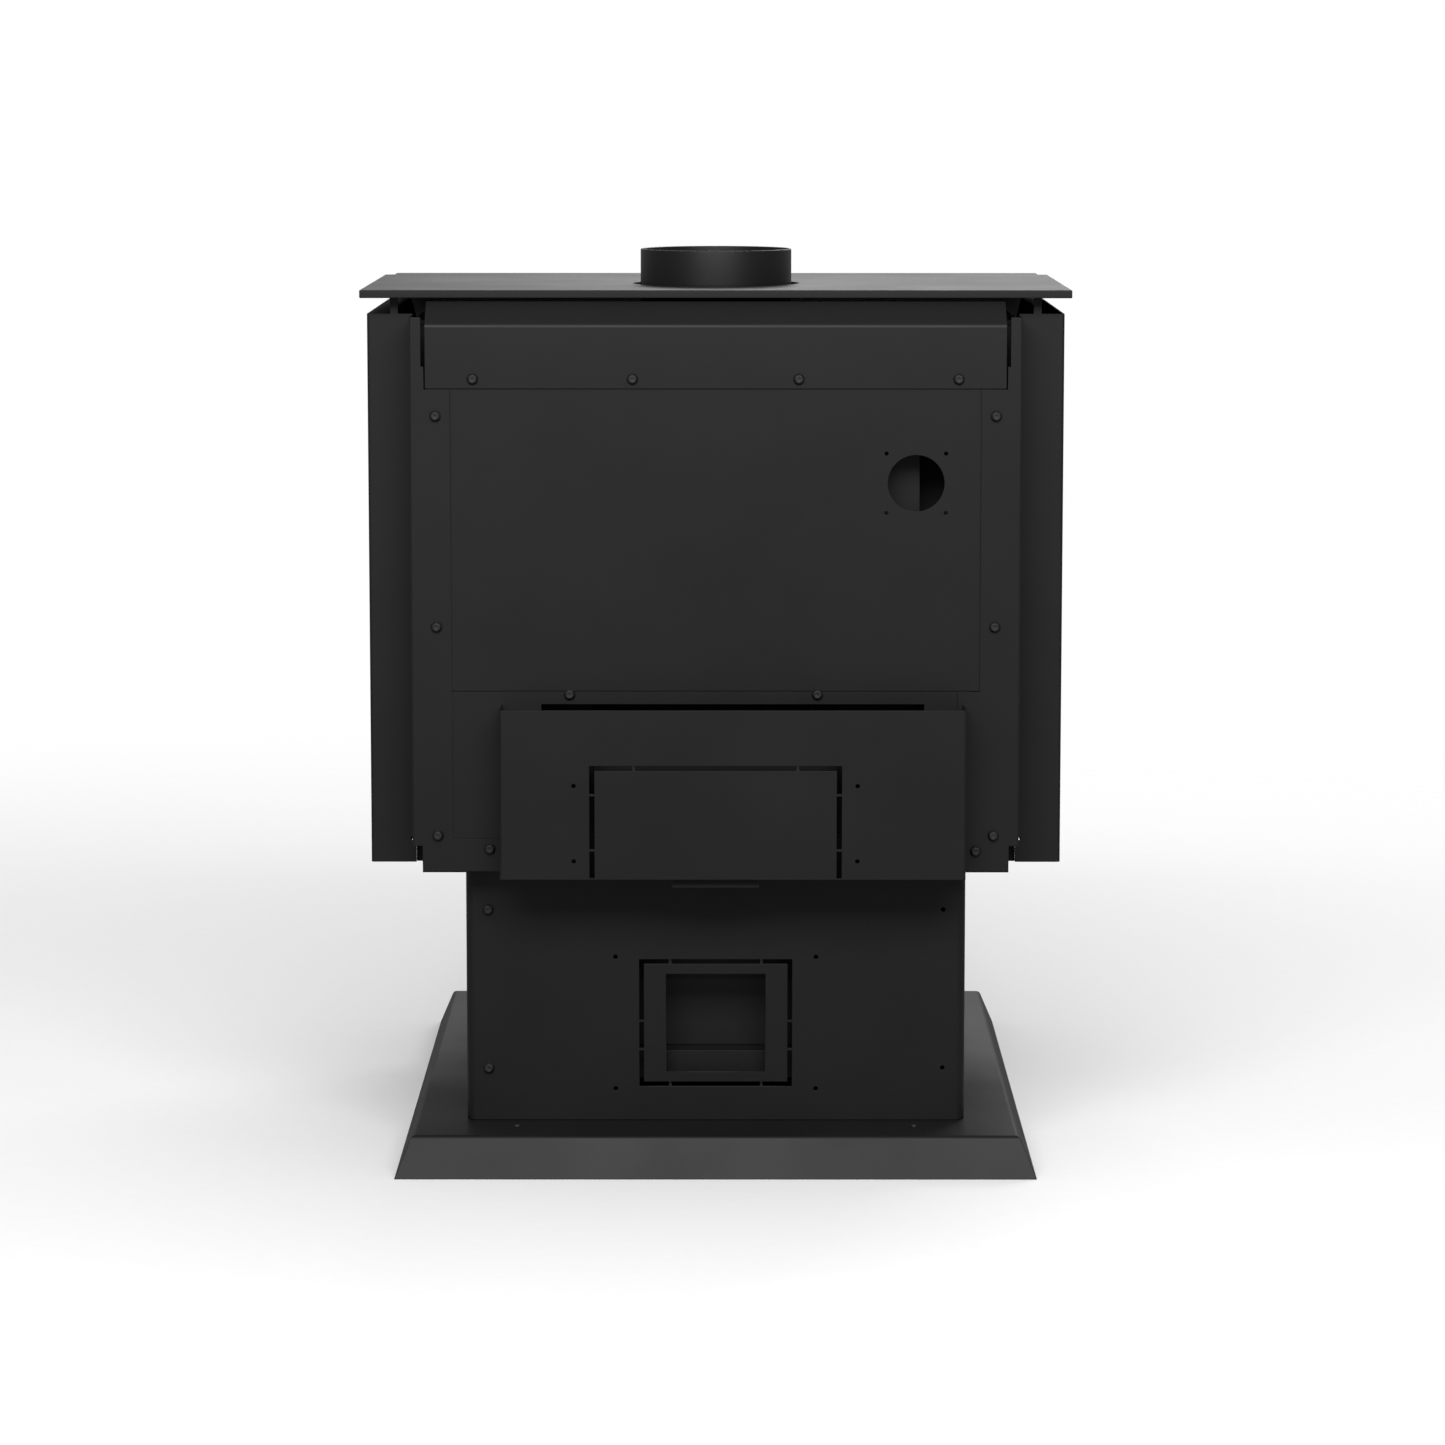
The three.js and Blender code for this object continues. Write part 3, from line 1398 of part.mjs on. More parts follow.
piece('ash_lip', ashLip(), finishes.stovePaint());

export default model;
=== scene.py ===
"""Finished surfaces, paint and stage for a free-standing wood burning stove on a pedestal.

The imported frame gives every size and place. Sheet-metal pieces are copies of their frame solids
with folded and softened edges; turned, coiled, woven and cast pieces are surfaces worked out here.
Everything is in metres, +Z up; the door faces -Y and the rear blower duct faces +Y.
"""

import json
import math

import bmesh
import bpy
import numpy as np
from bpy.props import FloatProperty, FloatVectorProperty, IntProperty, PointerProperty
from mathutils import Matrix, Vector

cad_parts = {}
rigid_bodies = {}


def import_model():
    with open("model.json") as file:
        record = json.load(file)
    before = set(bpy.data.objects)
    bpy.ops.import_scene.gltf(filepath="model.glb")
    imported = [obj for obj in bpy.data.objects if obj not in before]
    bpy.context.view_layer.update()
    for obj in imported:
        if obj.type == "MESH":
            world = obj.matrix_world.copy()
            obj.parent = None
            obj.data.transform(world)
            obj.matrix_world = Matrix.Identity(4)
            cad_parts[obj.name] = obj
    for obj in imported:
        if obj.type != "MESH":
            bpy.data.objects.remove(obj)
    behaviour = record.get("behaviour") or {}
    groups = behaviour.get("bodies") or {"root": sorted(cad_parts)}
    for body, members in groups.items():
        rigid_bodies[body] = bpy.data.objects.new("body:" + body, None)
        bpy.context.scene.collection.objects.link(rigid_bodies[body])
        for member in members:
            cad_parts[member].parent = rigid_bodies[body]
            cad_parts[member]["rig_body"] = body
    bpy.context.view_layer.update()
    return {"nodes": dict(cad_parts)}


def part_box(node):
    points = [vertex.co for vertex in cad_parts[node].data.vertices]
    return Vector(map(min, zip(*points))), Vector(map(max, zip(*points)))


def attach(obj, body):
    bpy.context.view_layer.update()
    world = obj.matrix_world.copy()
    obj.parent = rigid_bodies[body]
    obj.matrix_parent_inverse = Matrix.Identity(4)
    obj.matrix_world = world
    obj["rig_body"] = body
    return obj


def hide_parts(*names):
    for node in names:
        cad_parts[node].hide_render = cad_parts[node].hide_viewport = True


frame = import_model()

bl_info = {
    "name": "Wood Burning Stove",
    "version": (1, 0, 0),
    "blender": (4, 5, 0),
    "location": "3D View > Sidebar > Stove",
    "description": "Finished surfaces, paint and stage of a pedestal wood stove",
    "category": "Add Mesh",
}

MM = 0.001
FULL_TURN = 2 * math.pi
CREASE_ANGLE = math.radians(30)  # a sharper edge of a frame solid is a real edge
FLAT_ANGLE = math.radians(0.5)  # faces that meet at less are one flat face
SAME_PLACE = 0.05 * MM
SAME_VERTEX = 0.001 * MM
BOLT_SINK = 0.4 * MM  # of a screw's or bolt's head into its seat
STATIC = "stove_body"

# ------------------------------------------------------------------ what a user may change


def length_property(name, millimetres, description):
    """A property that holds a length, its default given in millimetres."""
    return FloatProperty(
        name=name, description=description, default=millimetres * MM, min=0, unit="LENGTH",
    )


def colour_property(name, colour, description):
    """A property that holds a linear colour."""
    return FloatVectorProperty(
        name=name, description=description, default=colour, size=3, min=0, max=1, subtype="COLOR",
    )


class StoveSizes(bpy.types.PropertyGroup):
    """Sizes of the finished surfaces that the frame leaves open."""

    sheet_edge: length_property("Sheet edge", 0.35, "Rounding of a cut sheet-metal edge")
    plate_edge: length_property("Plate edge", 1.0, "Rounding of a thick plate's ground edge")
    fold_radius: length_property("Fold radius", 2.6, "Outside radius of a folded sheet")
    cast_edge: length_property("Cast edge", 2.0, "Rounding of a casting's edges")
    bolt_flange: length_property("Bolt flange", 5.7, "Radius of a shield bolt's washer face")
    bolt_flat: length_property("Bolt flat", 4.0, "Half the width across a bolt head's flats")
    bolt_height: length_property("Bolt height", 4.6, "Height of a bolt head over its seat")
    spring_wire: length_property("Spring wire", 1.35, "Radius of the wire of the spring grips")
    brick_length: length_property("Brick length", 229, "Longest side of one firebrick")
    brick_width: length_property("Brick width", 114, "Middle side of one firebrick")
    brick_joint: length_property("Brick joint", 1.2, "Dry joint between firebricks")
    tube_holes: IntProperty(
        name="Tube holes", description="Air holes along one secondary air tube",
        default=30, min=1,
    )


class StoveColours(bpy.types.PropertyGroup):
    """Colours of the finishes, linear."""

    paint: colour_property("Paint", (0.005, 0.005, 0.0051), "Matt paint on sheet metal")
    plate: colour_property("Plate paint", (0.009, 0.009, 0.0092), "Paint on the thick top plates")
    casting: colour_property("Casting", (0.015, 0.015, 0.0155), "Painted cast iron")
    bolt: colour_property("Bolt", (0.014, 0.014, 0.0145), "Black oxide on the shield bolts")
    steel: colour_property("Steel", (0.40, 0.40, 0.41), "Bare satin steel of rods and clips")
    spring: colour_property("Spring", (0.62, 0.62, 0.63), "Bright wire of the spring grips")
    brick: colour_property("Firebrick", (0.56, 0.43, 0.27), "Fired clay of the lining")
    board: colour_property("Baffle board", (0.63, 0.57, 0.45), "Board over the fire")
    rope: colour_property("Gasket", (0.055, 0.055, 0.053), "Woven mineral fibre of the gaskets")


class StoveStage(bpy.types.PropertyGroup):
    """Camera, floor and light."""

    camera_place: FloatVectorProperty(
        name="Camera place", description="Where the camera stands, behind the stove",
        default=(-0.0068, 5.2421, 1.0918), size=3, subtype="TRANSLATION",
    )
    camera_pitch: FloatProperty(
        name="Camera pitch", description="How far the camera looks down",
        default=0.1304, subtype="ANGLE",
    )
    camera_roll: FloatProperty(
        name="Camera roll", description="Lean of the camera about its own axis",
        default=0.0003, subtype="ANGLE",
    )
    camera_lens: FloatProperty(
        name="Lens", description="Focal length on a 36 mm wide sensor, in millimetres",
        default=123.4, min=1,
    )
    key_power: FloatProperty(
        name="Key power", description="Power of the softbox behind the stove, in watts",
        default=165, min=0,
    )
    front_power: FloatProperty(
        name="Front power", description="Power of the softbox before the stove, in watts",
        default=75, min=0,
    )
    room_light: FloatProperty(
        name="Room light", description="Strength of the even light from all round",
        default=0.37, min=0,
    )


# ------------------------------------------------------------------ surfaces


def grid_mesh(name, points, closed_rows=False, closed_columns=False):
    """Quads over grids of points shaped (copies, rows, columns, 3).

    The two grid parameters, each from 0 to 1, become the UV map. Points that coincide, at seams
    and poles, are merged, and the faces of each closed shell are turned outwards.
    """
    if points.ndim == 3:
        points = points[None]
    copies, rows, columns, _ = points.shape
    index = np.arange(copies * rows * columns).reshape(copies, rows, columns)
    row = np.arange(rows if closed_rows else rows - 1)
    column = np.arange(columns if closed_columns else columns - 1)
    r, c = np.meshgrid(row, column, indexing="ij")
    corners = [(r, c), (r + 1, c), (r + 1, c + 1), (r, c + 1)]
    faces = np.stack([index[:, a % rows, b % columns] for a, b in corners], axis=-1).reshape(-1, 4)
    share = np.stack([np.stack([a / len(row), b / len(column)], -1) for a, b in corners], axis=-2)
    share = np.broadcast_to(share, (copies, *share.shape))
    mesh = bpy.data.meshes.new(name)
    mesh.vertices.add(points.size // 3)
    mesh.vertices.foreach_set("co", np.ascontiguousarray(points, np.float32).ravel())
    mesh.loops.add(faces.size)
    mesh.loops.foreach_set("vertex_index", faces.astype(np.int32).ravel())
    mesh.polygons.add(len(faces))
    mesh.polygons.foreach_set("loop_start", np.arange(0, faces.size, 4, dtype=np.int32))
    mesh.update(calc_edges=True)
    layer = mesh.uv_layers.new(name="Surface")
    layer.data.foreach_set("uv", np.ascontiguousarray(share, np.float32).ravel())
    merged(mesh)
    mesh.polygons.foreach_set("use_smooth", np.ones(len(mesh.polygons), bool))
    return mesh


def merged(mesh):
    """Joins vertices that share a place, drops faces that collapse, and turns the rest outwards."""
    form = bmesh.new()
    form.from_mesh(mesh)
    bmesh.ops.remove_doubles(form, verts=form.verts, dist=SAME_VERTEX)
    bmesh.ops.recalc_face_normals(form, faces=form.faces)
    form.to_mesh(mesh)
    form.free()
    mesh.update()


# The side, upright and facing directions of a head that is turned to the rear.
REAR_FACING = np.array([[-1.0, 0.0, 0.0], [0.0, 0.0, 1.0], [0.0, 1.0, 0.0]])


def placed(points, places, axes):
    """Copies of a grid of local points, one at each place, turned to the given axes."""
    turned = points @ axes
    return np.asarray(places, float)[:, None, None, :] + turned[None]


def revolved(profile, turns, outline=None):
    """A profile of (radius, height) pairs carried once round the local Z axis.

    outline, if given, is a function of the angle that caps the radius there, and the radius is the
    smaller of the profile's and the cap's: this makes a chamfered hexagon from a cone.
    """
    angle = np.linspace(0, FULL_TURN, turns, endpoint=False)[:, None]
    radius = np.broadcast_to(profile[:, 0], (turns, len(profile))).copy()
    if outline is not None:
        radius = np.minimum(radius, outline(angle, profile[:, 1]))
    height = np.broadcast_to(profile[:, 1], radius.shape)
    return np.stack([radius * np.cos(angle), radius * np.sin(angle), height], axis=-1)


def quarter_round(centre, radius, between, steps=5):
    """Points on a quarter circle about centre, between two angles in degrees."""
    angle = np.linspace(*np.radians(between), steps)
    return np.array(centre) + radius * np.stack([np.cos(angle), np.sin(angle)], axis=-1)


def tube(centres, side, other, radius, sides, closed=False):
    """A circle carried along a line of centres: centre + radius * (cos(a) side + sin(a) other).

    radius is one value or one for each centre. An open tube is closed by a point at each end.
    """
    angle = np.linspace(0, FULL_TURN, sides, endpoint=False)[None, :, None]
    radius = np.broadcast_to(np.asarray(radius, float), len(centres))[:, None, None]
    around = np.cos(angle) * side[:, None] + np.sin(angle) * other[:, None]
    points = centres[:, None] + radius * around
    if closed:
        return points
    ends = [np.repeat(centres[k][None, None], sides, axis=1) for k in (0, -1)]
    return np.concatenate([ends[0], points, ends[1]])


def bent_line(corners, radius, step, plane_normal):
    """A line through corner points with its corners rounded to a radius, in one plane.

    Each straight run is sampled at the step, and each corner is replaced by an arc that touches
    both runs. Returns the points, and the two unit vectors across the line at each.
    """
    corners = [np.array(c, float) for c in corners]
    parts = []
    start = corners[0]
    for here, after in zip(corners[1:], corners[2:] + [None]):
        if after is None:
            parts.append(straight_run(start, here, step))
            break
        inward = (start - here) / np.linalg.norm(start - here)
        outward = (after - here) / np.linalg.norm(after - here)
        half = math.acos(float(np.clip(inward @ outward, -1, 1))) / 2
        reach = radius / math.tan(half)
        bisector = (inward + outward) / np.linalg.norm(inward + outward)
        middle = here + bisector * radius / math.sin(half)
        first, last = here + inward * reach, here + outward * reach
        parts.append(straight_run(start, first, step))
        share = np.linspace(0, 1, max(4, int(radius * (math.pi - 2 * half) / step)))[1:-1, None]
        spoke = (1 - share) * (first - middle) + share * (last - middle)
        spoke /= np.linalg.norm(spoke, axis=1, keepdims=True)
        parts.append(middle + radius * spoke)
        start = last
    line = np.concatenate(parts)
    tangent = np.gradient(line, axis=0)
    tangent /= np.linalg.norm(tangent, axis=1, keepdims=True)
    normal = np.broadcast_to(np.array(plane_normal, float), line.shape)
    return line, normal, np.cross(tangent, normal)


def straight_run(start, end, step):
    """Evenly spaced points from start to end."""
    count = max(2, int(np.linalg.norm(end - start) / step))
    share = np.linspace(0, 1, count)[:, None]
    return (1 - share) * start + share * end


def rounded_loop(half_width, half_height, radius, count):
    """Evenly spaced points round a rounded rectangle, with the outward direction at each.

    The rim is walked by its length: for a length along it, the point is on one of four straight
    sides or four quarter circles, found for all points at once.
    """
    flat = np.array([2 * (half_width - radius), 2 * (half_height - radius)] * 2)
    arc = radius * math.pi / 2
    starts = np.concatenate([[0], np.cumsum(flat + arc)])
    along = np.linspace(0, starts[-1], count, endpoint=False)
    side = np.searchsorted(starts, along, side="right") - 1
    local = along - starts[side]
    heading = side * math.pi / 2
    corner = np.array([[-1, -1], [1, -1], [1, 1], [-1, 1]], float)
    core = np.array([half_width - radius, half_height - radius])
    direction = np.stack([np.cos(heading), np.sin(heading)], -1)
    outward = np.stack([np.sin(heading), -np.cos(heading)], -1)
    on_flat = np.minimum(local, flat[side])[:, None]
    turn = np.maximum(0, local - flat[side]) / radius
    spoke = np.cos(turn)[:, None] * outward + np.sin(turn)[:, None] * direction
    return corner[side] * core + direction * on_flat + radius * spoke, spoke


def rounded_blocks(low, high, corner, edge, steps=4):
    """Blocks with rounded corners in plan and rounded top and bottom edges, one for each box.

    The first parameter walks round the plan outline. The second climbs from the middle of the
    bottom, round the lower edge, up the wall and round the upper edge to the middle of the top.
    Each rounding takes the given number of points.
    """
    low, high = np.atleast_2d(low), np.atleast_2d(high)
    centre, half = (low + high) / 2, (high - low) / 2
    quarter = np.linspace(0, math.pi / 2, steps)
    angle = (quarter[None] + np.arange(4)[:, None] * math.pi / 2).ravel()
    sign = np.repeat([[1, 1], [-1, 1], [-1, -1], [1, -1]], steps, axis=0)
    spoke = np.stack([np.cos(angle), np.sin(angle)], -1)
    inset = edge * (1 - np.sin(quarter))
    lift = edge * (1 - np.cos(quarter))
    inset = np.concatenate([inset, inset[::-1]])
    core = half[:, None, None, :2] - corner
    reach = (corner - inset)[None, None, :, None]
    ring = centre[:, None, None, :2] + sign[None, :, None] * core + spoke[None, :, None] * reach
    height = np.concatenate([low[:, 2:3] + lift, high[:, 2:3] - lift[::-1]], axis=1)
    height = np.broadcast_to(height[:, None], ring.shape[:3])
    wall = np.concatenate([ring, height[..., None]], axis=-1)
    caps = []
    for z in (low[:, 2], high[:, 2]):
        cap = np.concatenate([centre[:, :2], z[:, None]], axis=1)
        caps.append(np.broadcast_to(cap[:, None, None], (len(low), len(angle), 1, 3)))
    return np.concatenate([caps[0], wall, caps[1]], axis=2)


# ------------------------------------------------------------------ pieces


def finished(name, mesh, material, body, replaced=()):
    """Puts a mesh in the scene as one piece: its finish, its body, what it stands for."""
    mesh.materials.clear()
    mesh.materials.append(material)
    piece = bpy.data.objects.new(name, mesh)
    bpy.context.scene.collection.objects.link(piece)
    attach(piece, body)
    if replaced:
        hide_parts(*replaced)
    return piece


def made(name, points, use, body, replaced=(), rows=True, columns=False):
    """A piece from a grid of points, closed along its rows, its columns or both."""
    return finished(name, grid_mesh(name, points, rows, columns), finish(use), body, replaced)


def body_of(node):
    return frame["nodes"][node]["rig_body"]


def middle_of(low, high):
    """The middle of a box, as an array."""
    return (np.array(low) + np.array(high)) / 2


def on_line(edge, line):
    """True if both ends of an edge lie on a line, given as fixed coordinates: {0: x, 1: y}."""
    ends = [end.co for end in edge.verts]
    return all(abs(co[axis] - at) < SAME_PLACE for co in ends for axis, at in line.items())


def softened(node, name, use, width, folds=(), fold_radius=None, segments=3):
    """A copy of a frame solid with its outer edges rounded.

    Triangles of one flat face are joined again, every outer crease gets the small width, and the
    edges on the fold lines or planes get the larger fold radius. Normals are weighted by face
    area, so that flat faces stay flat and only the roundings shade.
    """
    mesh = frame["nodes"][node].data.copy()
    mesh.name = name
    radius = fold_radius or width
    form = bmesh.new()
    form.from_mesh(mesh)
    bmesh.ops.remove_doubles(form, verts=form.verts, dist=SAME_VERTEX)
    bmesh.ops.dissolve_limit(form, angle_limit=FLAT_ANGLE, verts=form.verts, edges=form.edges)
    weight = form.edges.layers.float.new("bevel_weight_edge")
    for edge in form.edges:
        if edge.calc_face_angle_signed(0) > CREASE_ANGLE:
            folded = any(on_line(edge, line) for line in folds)
            edge[weight] = 1.0 if folded else width / radius
    for face in form.faces:
        face.smooth = True
    form.to_mesh(mesh)
    form.free()
    piece = finished(name, mesh, finish(use), body_of(node), [node])
    bevel = piece.modifiers.new("Rounded edges", "BEVEL")
    bevel.limit_method = "WEIGHT"
    bevel.width = radius
    bevel.segments = segments
    bevel.use_clamp_overlap = False
    bevel.loop_slide = False
    piece.modifiers.new("Flat faces", "WEIGHTED_NORMAL")
    return piece


# ------------------------------------------------------------------ finishes


class Graph:
    """A material's nodes, written in one line each."""

    def __init__(self, name, colour, roughness, metallic=0.0, specular=0.5):
        self.material = bpy.data.materials.new(name)
        self.material.use_nodes = True
        self.tree = self.material.node_tree
        self.shader = self.tree.nodes["Principled BSDF"]
        self.shader.inputs["Base Color"].default_value = (*colour, 1)
        self.shader.inputs["Roughness"].default_value = roughness
        self.shader.inputs["Metallic"].default_value = metallic
        self.shader.inputs["Specular IOR Level"].default_value = specular
        self.place = self.add("ShaderNodeTexCoord", {}).outputs["Object"]

    def add(self, kind, inputs, **settings):
        node = self.tree.nodes.new(kind)
        for key, value in settings.items():
            setattr(node, key, value)
        for key, value in inputs.items():
            if isinstance(value, bpy.types.NodeSocket):
                self.tree.links.new(value, node.inputs[key])
            else:
                node.inputs[key].default_value = value
        return node

    def feed(self, socket, value):
        self.tree.links.new(value, self.shader.inputs[socket])

    def stretched(self, scale):
        return self.add("ShaderNodeMapping", {"Vector": self.place, "Scale": scale}).outputs[0]

    def noise(self, scale, detail=2.0, rough=0.5, source=None, distortion=0.0):
        inputs = {
            "Vector": source or self.place, "Scale": scale, "Detail": detail,
            "Roughness": rough, "Distortion": distortion,
        }
        return self.add("ShaderNodeTexNoise", inputs).outputs[0]

    def cells(self, scale):
        inputs = {"Vector": self.place, "Scale": scale}
        return self.add("ShaderNodeTexVoronoi", inputs).outputs["Distance"]

    def spread(self, value, low, high, from_low=0.0, from_high=1.0):
        inputs = {0: value, 1: from_low, 2: from_high, 3: low, 4: high}
        return self.add("ShaderNodeMapRange", inputs).outputs[0]

    def swing(self, noise, low, high):
        """Spreads the middle of a noise, where most of its values are, from low to high."""
        return self.spread(noise, low, high, 0.3, 0.7)

    def sum(self, first, second, operation="ADD"):
        return self.add("ShaderNodeMath", {0: first, 1: second}, operation=operation).outputs[0]

    def blend(self, share, first, second):
        inputs = {0: share, 6: first, 7: second}
        return self.add("ShaderNodeMix", inputs, data_type="RGBA").outputs[2]

    def relief(self, height, distance, strength=1.0):
        inputs = {"Height": height, "Distance": distance, "Strength": strength}
        self.feed("Normal", self.add("ShaderNodeBump", inputs).outputs[0])


def shade(colour, factor):
    return tuple(min(1.0, c * factor) for c in colour) + (1.0,)


def sprayed_paint(name, colour, roughness, specular, grain):
    """Matt sprayed paint: hand-wide clouds of tone, orange peel, and a dry powder grain."""
    g = Graph(name, colour, roughness, specular=specular)
    cloud = g.noise(7.0, 3.0, 0.55)
    peel = g.noise(380.0, 2.0)
    powder = g.noise(2400.0, 2.0, 0.6)
    tone = g.sum(g.swing(cloud, 0.0, 0.7), g.swing(powder, 0.0, 0.3))
    g.feed("Base Color", g.blend(tone, shade(colour, 0.86), shade(colour, 1.14)))
    dull = g.sum(g.swing(cloud, -0.035, 0.035), g.swing(powder, -0.03, 0.03))
    g.feed("Roughness", g.sum(dull, roughness))
    g.relief(g.sum(g.spread(peel, 0.0, 0.6), g.spread(powder, 0.0, 0.4)), grain)
    return g.material


def sand_cast(name, colour, roughness):
    """Painted casting: a sandy skin of small lumps and pits over slow waves."""
    g = Graph(name, colour, roughness, specular=0.4)
    sand = g.noise(900.0, 3.0, 0.65)
    pits = g.cells(520.0)
    waves = g.noise(45.0, 2.0)
    tone = g.swing(g.noise(11.0, 4.0), 0.0, 1.0)
    g.feed("Base Color", g.blend(tone, shade(colour, 0.8), shade(colour, 1.2)))
    g.feed("Roughness", g.swing(sand, roughness - 0.08, roughness + 0.08))
    height = g.sum(g.spread(sand, 0.0, 0.55), g.spread(pits, 0.0, 0.25, 0.0, 0.6))
    g.relief(g.sum(height, g.spread(waves, 0.0, 0.8)), 0.28 * MM, 0.8)
    return g.material


def drawn_steel(name, colour, roughness, along):
    """Bare steel with fine drawing marks that run along one axis, and faint handling smears."""
    g = Graph(name, colour, roughness, metallic=1.0)
    scale = [2600.0, 2600.0, 2600.0]
    scale[along] = 30.0
    marks = g.noise(1.0, 3.0, 0.6, g.stretched(scale))
    smear = g.noise(22.0, 3.0)
    g.feed("Base Color", g.blend(smear, shade(colour, 0.82), shade(colour, 1.1)))
    dull = g.sum(g.swing(marks, -0.07, 0.07), g.swing(smear, -0.05, 0.08))
    g.feed("Roughness", g.sum(dull, roughness))
    g.relief(marks, 0.02 * MM, 0.7)
    return g.material


def black_oxide(name, colour):
    """Blackened steel of bolt heads: half metallic, a soft shine, thin rubbed patches."""
    g = Graph(name, colour, 0.5, metallic=0.35)
    rub = g.noise(260.0, 3.0)
    bare = g.spread(rub, 0, 1, 0.5, 0.75)
    g.feed("Base Color", g.blend(bare, shade(colour, 0.85), shade(colour, 1.7)))
    g.feed("Roughness", g.swing(rub, 0.42, 0.6))
    g.relief(g.noise(1800.0), 0.03 * MM, 0.6)
    return g.material


def heat_tinted(name):
    """Stainless tube that has been hot: bands of straw, bronze and blue run into each other."""
    straw, bronze, blue = (0.62, 0.5, 0.34, 1), (0.4, 0.24, 0.16, 1), (0.2, 0.24, 0.34, 1)
    g = Graph(name, straw[:3], 0.32, metallic=1.0)
    band = g.noise(1.0, 3.0, 0.5, g.stretched((9.0, 3.0, 3.0)))
    warm = g.blend(g.spread(band, 0, 1, 0.35, 0.55), straw, bronze)
    g.feed("Base Color", g.blend(g.spread(band, 0, 1, 0.52, 0.68), warm, blue))
    g.feed("Roughness", g.swing(g.noise(700.0), 0.26, 0.42))
    g.relief(g.noise(1.0, 2.0, 0.5, g.stretched((20.0, 900.0, 900.0))), 0.03 * MM)
    return g.material


def fired_clay(name, colour):
    """Firebrick: a buff body with darker grog grains, open pores and a sandy rub."""
    g = Graph(name, colour, 0.93, specular=0.25)
    grog = g.cells(190.0)
    grain = g.noise(420.0, 4.0, 0.7)
    cloud = g.noise(16.0, 3.0)
    body = g.blend(g.swing(cloud, 0, 1), shade(colour, 0.84), shade(colour, 1.1))
    spots = g.spread(grog, 1.0, 0.0, 0.08, 0.3)
    speckles = g.sum(spots, g.swing(grain, 0.1, 1.0), "MULTIPLY")
    g.feed("Base Color", g.blend(speckles, body, shade(colour, 0.5)))
    pores = g.spread(g.cells(330.0), 0.0, 1.0, 0.0, 0.35)
    g.relief(g.sum(g.spread(grain, 0.0, 0.6), pores), 0.5 * MM, 0.9)
    return g.material


def pressed_board(name, colour):
    """Vermiculite board: pressed flakes that catch the light at their own angles."""
    g = Graph(name, colour, 0.88, specular=0.35)
    flakes = g.cells(150.0)
    fleck = g.noise(600.0, 3.0, 0.7)
    base = g.blend(g.spread(flakes, 0, 1, 0.1, 0.6), shade(colour, 1.15), shade(colour, 0.72))
    g.feed("Base Color", g.blend(g.spread(fleck, 0, 0.8, 0.45, 0.8), base, shade(colour, 1.3)))
    g.relief(g.sum(flakes, g.spread(fleck, 0.0, 0.3)), 0.6 * MM)
    return g.material


def matted_fibre(name, colour):
    """Ceramic blanket: crossed strands pressed into a soft mat, its colour with painted shade,
    darker in the low gaps between strands and lighter on the raised strands.
    """
    g = Graph(name, colour, 1.0, specular=0.1)
    strands = g.noise(1.0, 4.0, 0.7, g.stretched((90.0, 420.0, 420.0)), 0.6)
    crossed = g.noise(1.0, 4.0, 0.7, g.stretched((420.0, 90.0, 420.0)), 0.6)
    mat = g.sum(strands, crossed, "MULTIPLY")
    # painted shade: the colour follows the mat's relief, darker in its low gaps and lighter on its
    # raised strands
    high = g.spread(mat, 0, 1, 0.12, 0.4)
    g.feed("Base Color", g.blend(high, shade(colour, 0.7), shade(colour, 1.2)))
    g.relief(mat, 1.2 * MM)
    return g.material


def woven_fibre(name, colour):
    """Woven gasket: loose fuzz over slow fading; the yarns themselves are in the mesh."""
    g = Graph(name, colour, 0.95, specular=0.15)
    fuzz = g.noise(1500.0, 3.0, 0.7)
    fade = g.swing(g.noise(60.0, 3.0), 0, 1)
    g.feed("Base Color", g.blend(fade, shade(colour, 0.6), shade(colour, 1.5)))
    g.relief(fuzz, 0.25 * MM)
    return g.material


def ceramic_glass(name):
    """Clear glass ceramic with its faint amber body colour and a few wiping marks."""
    g = Graph(name, (0.9, 0.79, 0.62), 0.03)
    g.shader.inputs["Transmission Weight"].default_value = 1.0
    g.shader.inputs["IOR"].default_value = 1.52
    wipe = g.noise(1.0, 3.0, 0.5, g.stretched((4.0, 4.0, 26.0)))
    g.feed("Roughness", g.spread(wipe, 0.015, 0.07, 0.4, 0.75))
    return g.material


def made_finishes(colours):
    """Every finish of the stove, by the name of its use."""
    return {
        "paint": sprayed_paint("sheet_paint", colours.paint, 0.5, 0.27, 0.055 * MM),
        "plate": sprayed_paint("plate_paint", colours.plate, 0.52, 0.24, 0.09 * MM),
        "inside": sprayed_paint("firebox_paint", colours.paint, 0.78, 0.3, 0.12 * MM),
        "casting": sand_cast("casting_paint", colours.casting, 0.62),
        "bolt": black_oxide("bolt_black", colours.bolt),
        "steel_x": drawn_steel("steel_drawn_x", colours.steel, 0.34, 0),
        "steel_y": drawn_steel("steel_drawn_y", colours.steel, 0.34, 1),
        "steel_z": drawn_steel("steel_drawn_z", colours.steel, 0.34, 2),
        "spring": drawn_steel("spring_wire", colours.spring, 0.2, 2),
        "tube": heat_tinted("tube_stainless"),
        "brick": fired_clay("firebrick_clay", colours.brick),
        "board": pressed_board("baffle_board", colours.board),
        "blanket": matted_fibre("blanket_fibre", shade(colours.board, 1.2)[:3]),
        "rope": woven_fibre("gasket_rope", colours.rope),
        "glass": ceramic_glass("stove_glass"),
    }


FINISHES = {}


def finish(name):
    if not FINISHES:
        FINISHES.update(made_finishes(bpy.context.scene.stove_colours))
    return FINISHES[name]


# ------------------------------------------------------------------ plinth and pedestal


def fold(**fixed):
    """A fold for softened(): fold(x=1, y=2) is the upright line there, fold(y=2) a whole plane."""
    return {"xyz".index(axis): value for axis, value in fixed.items()}


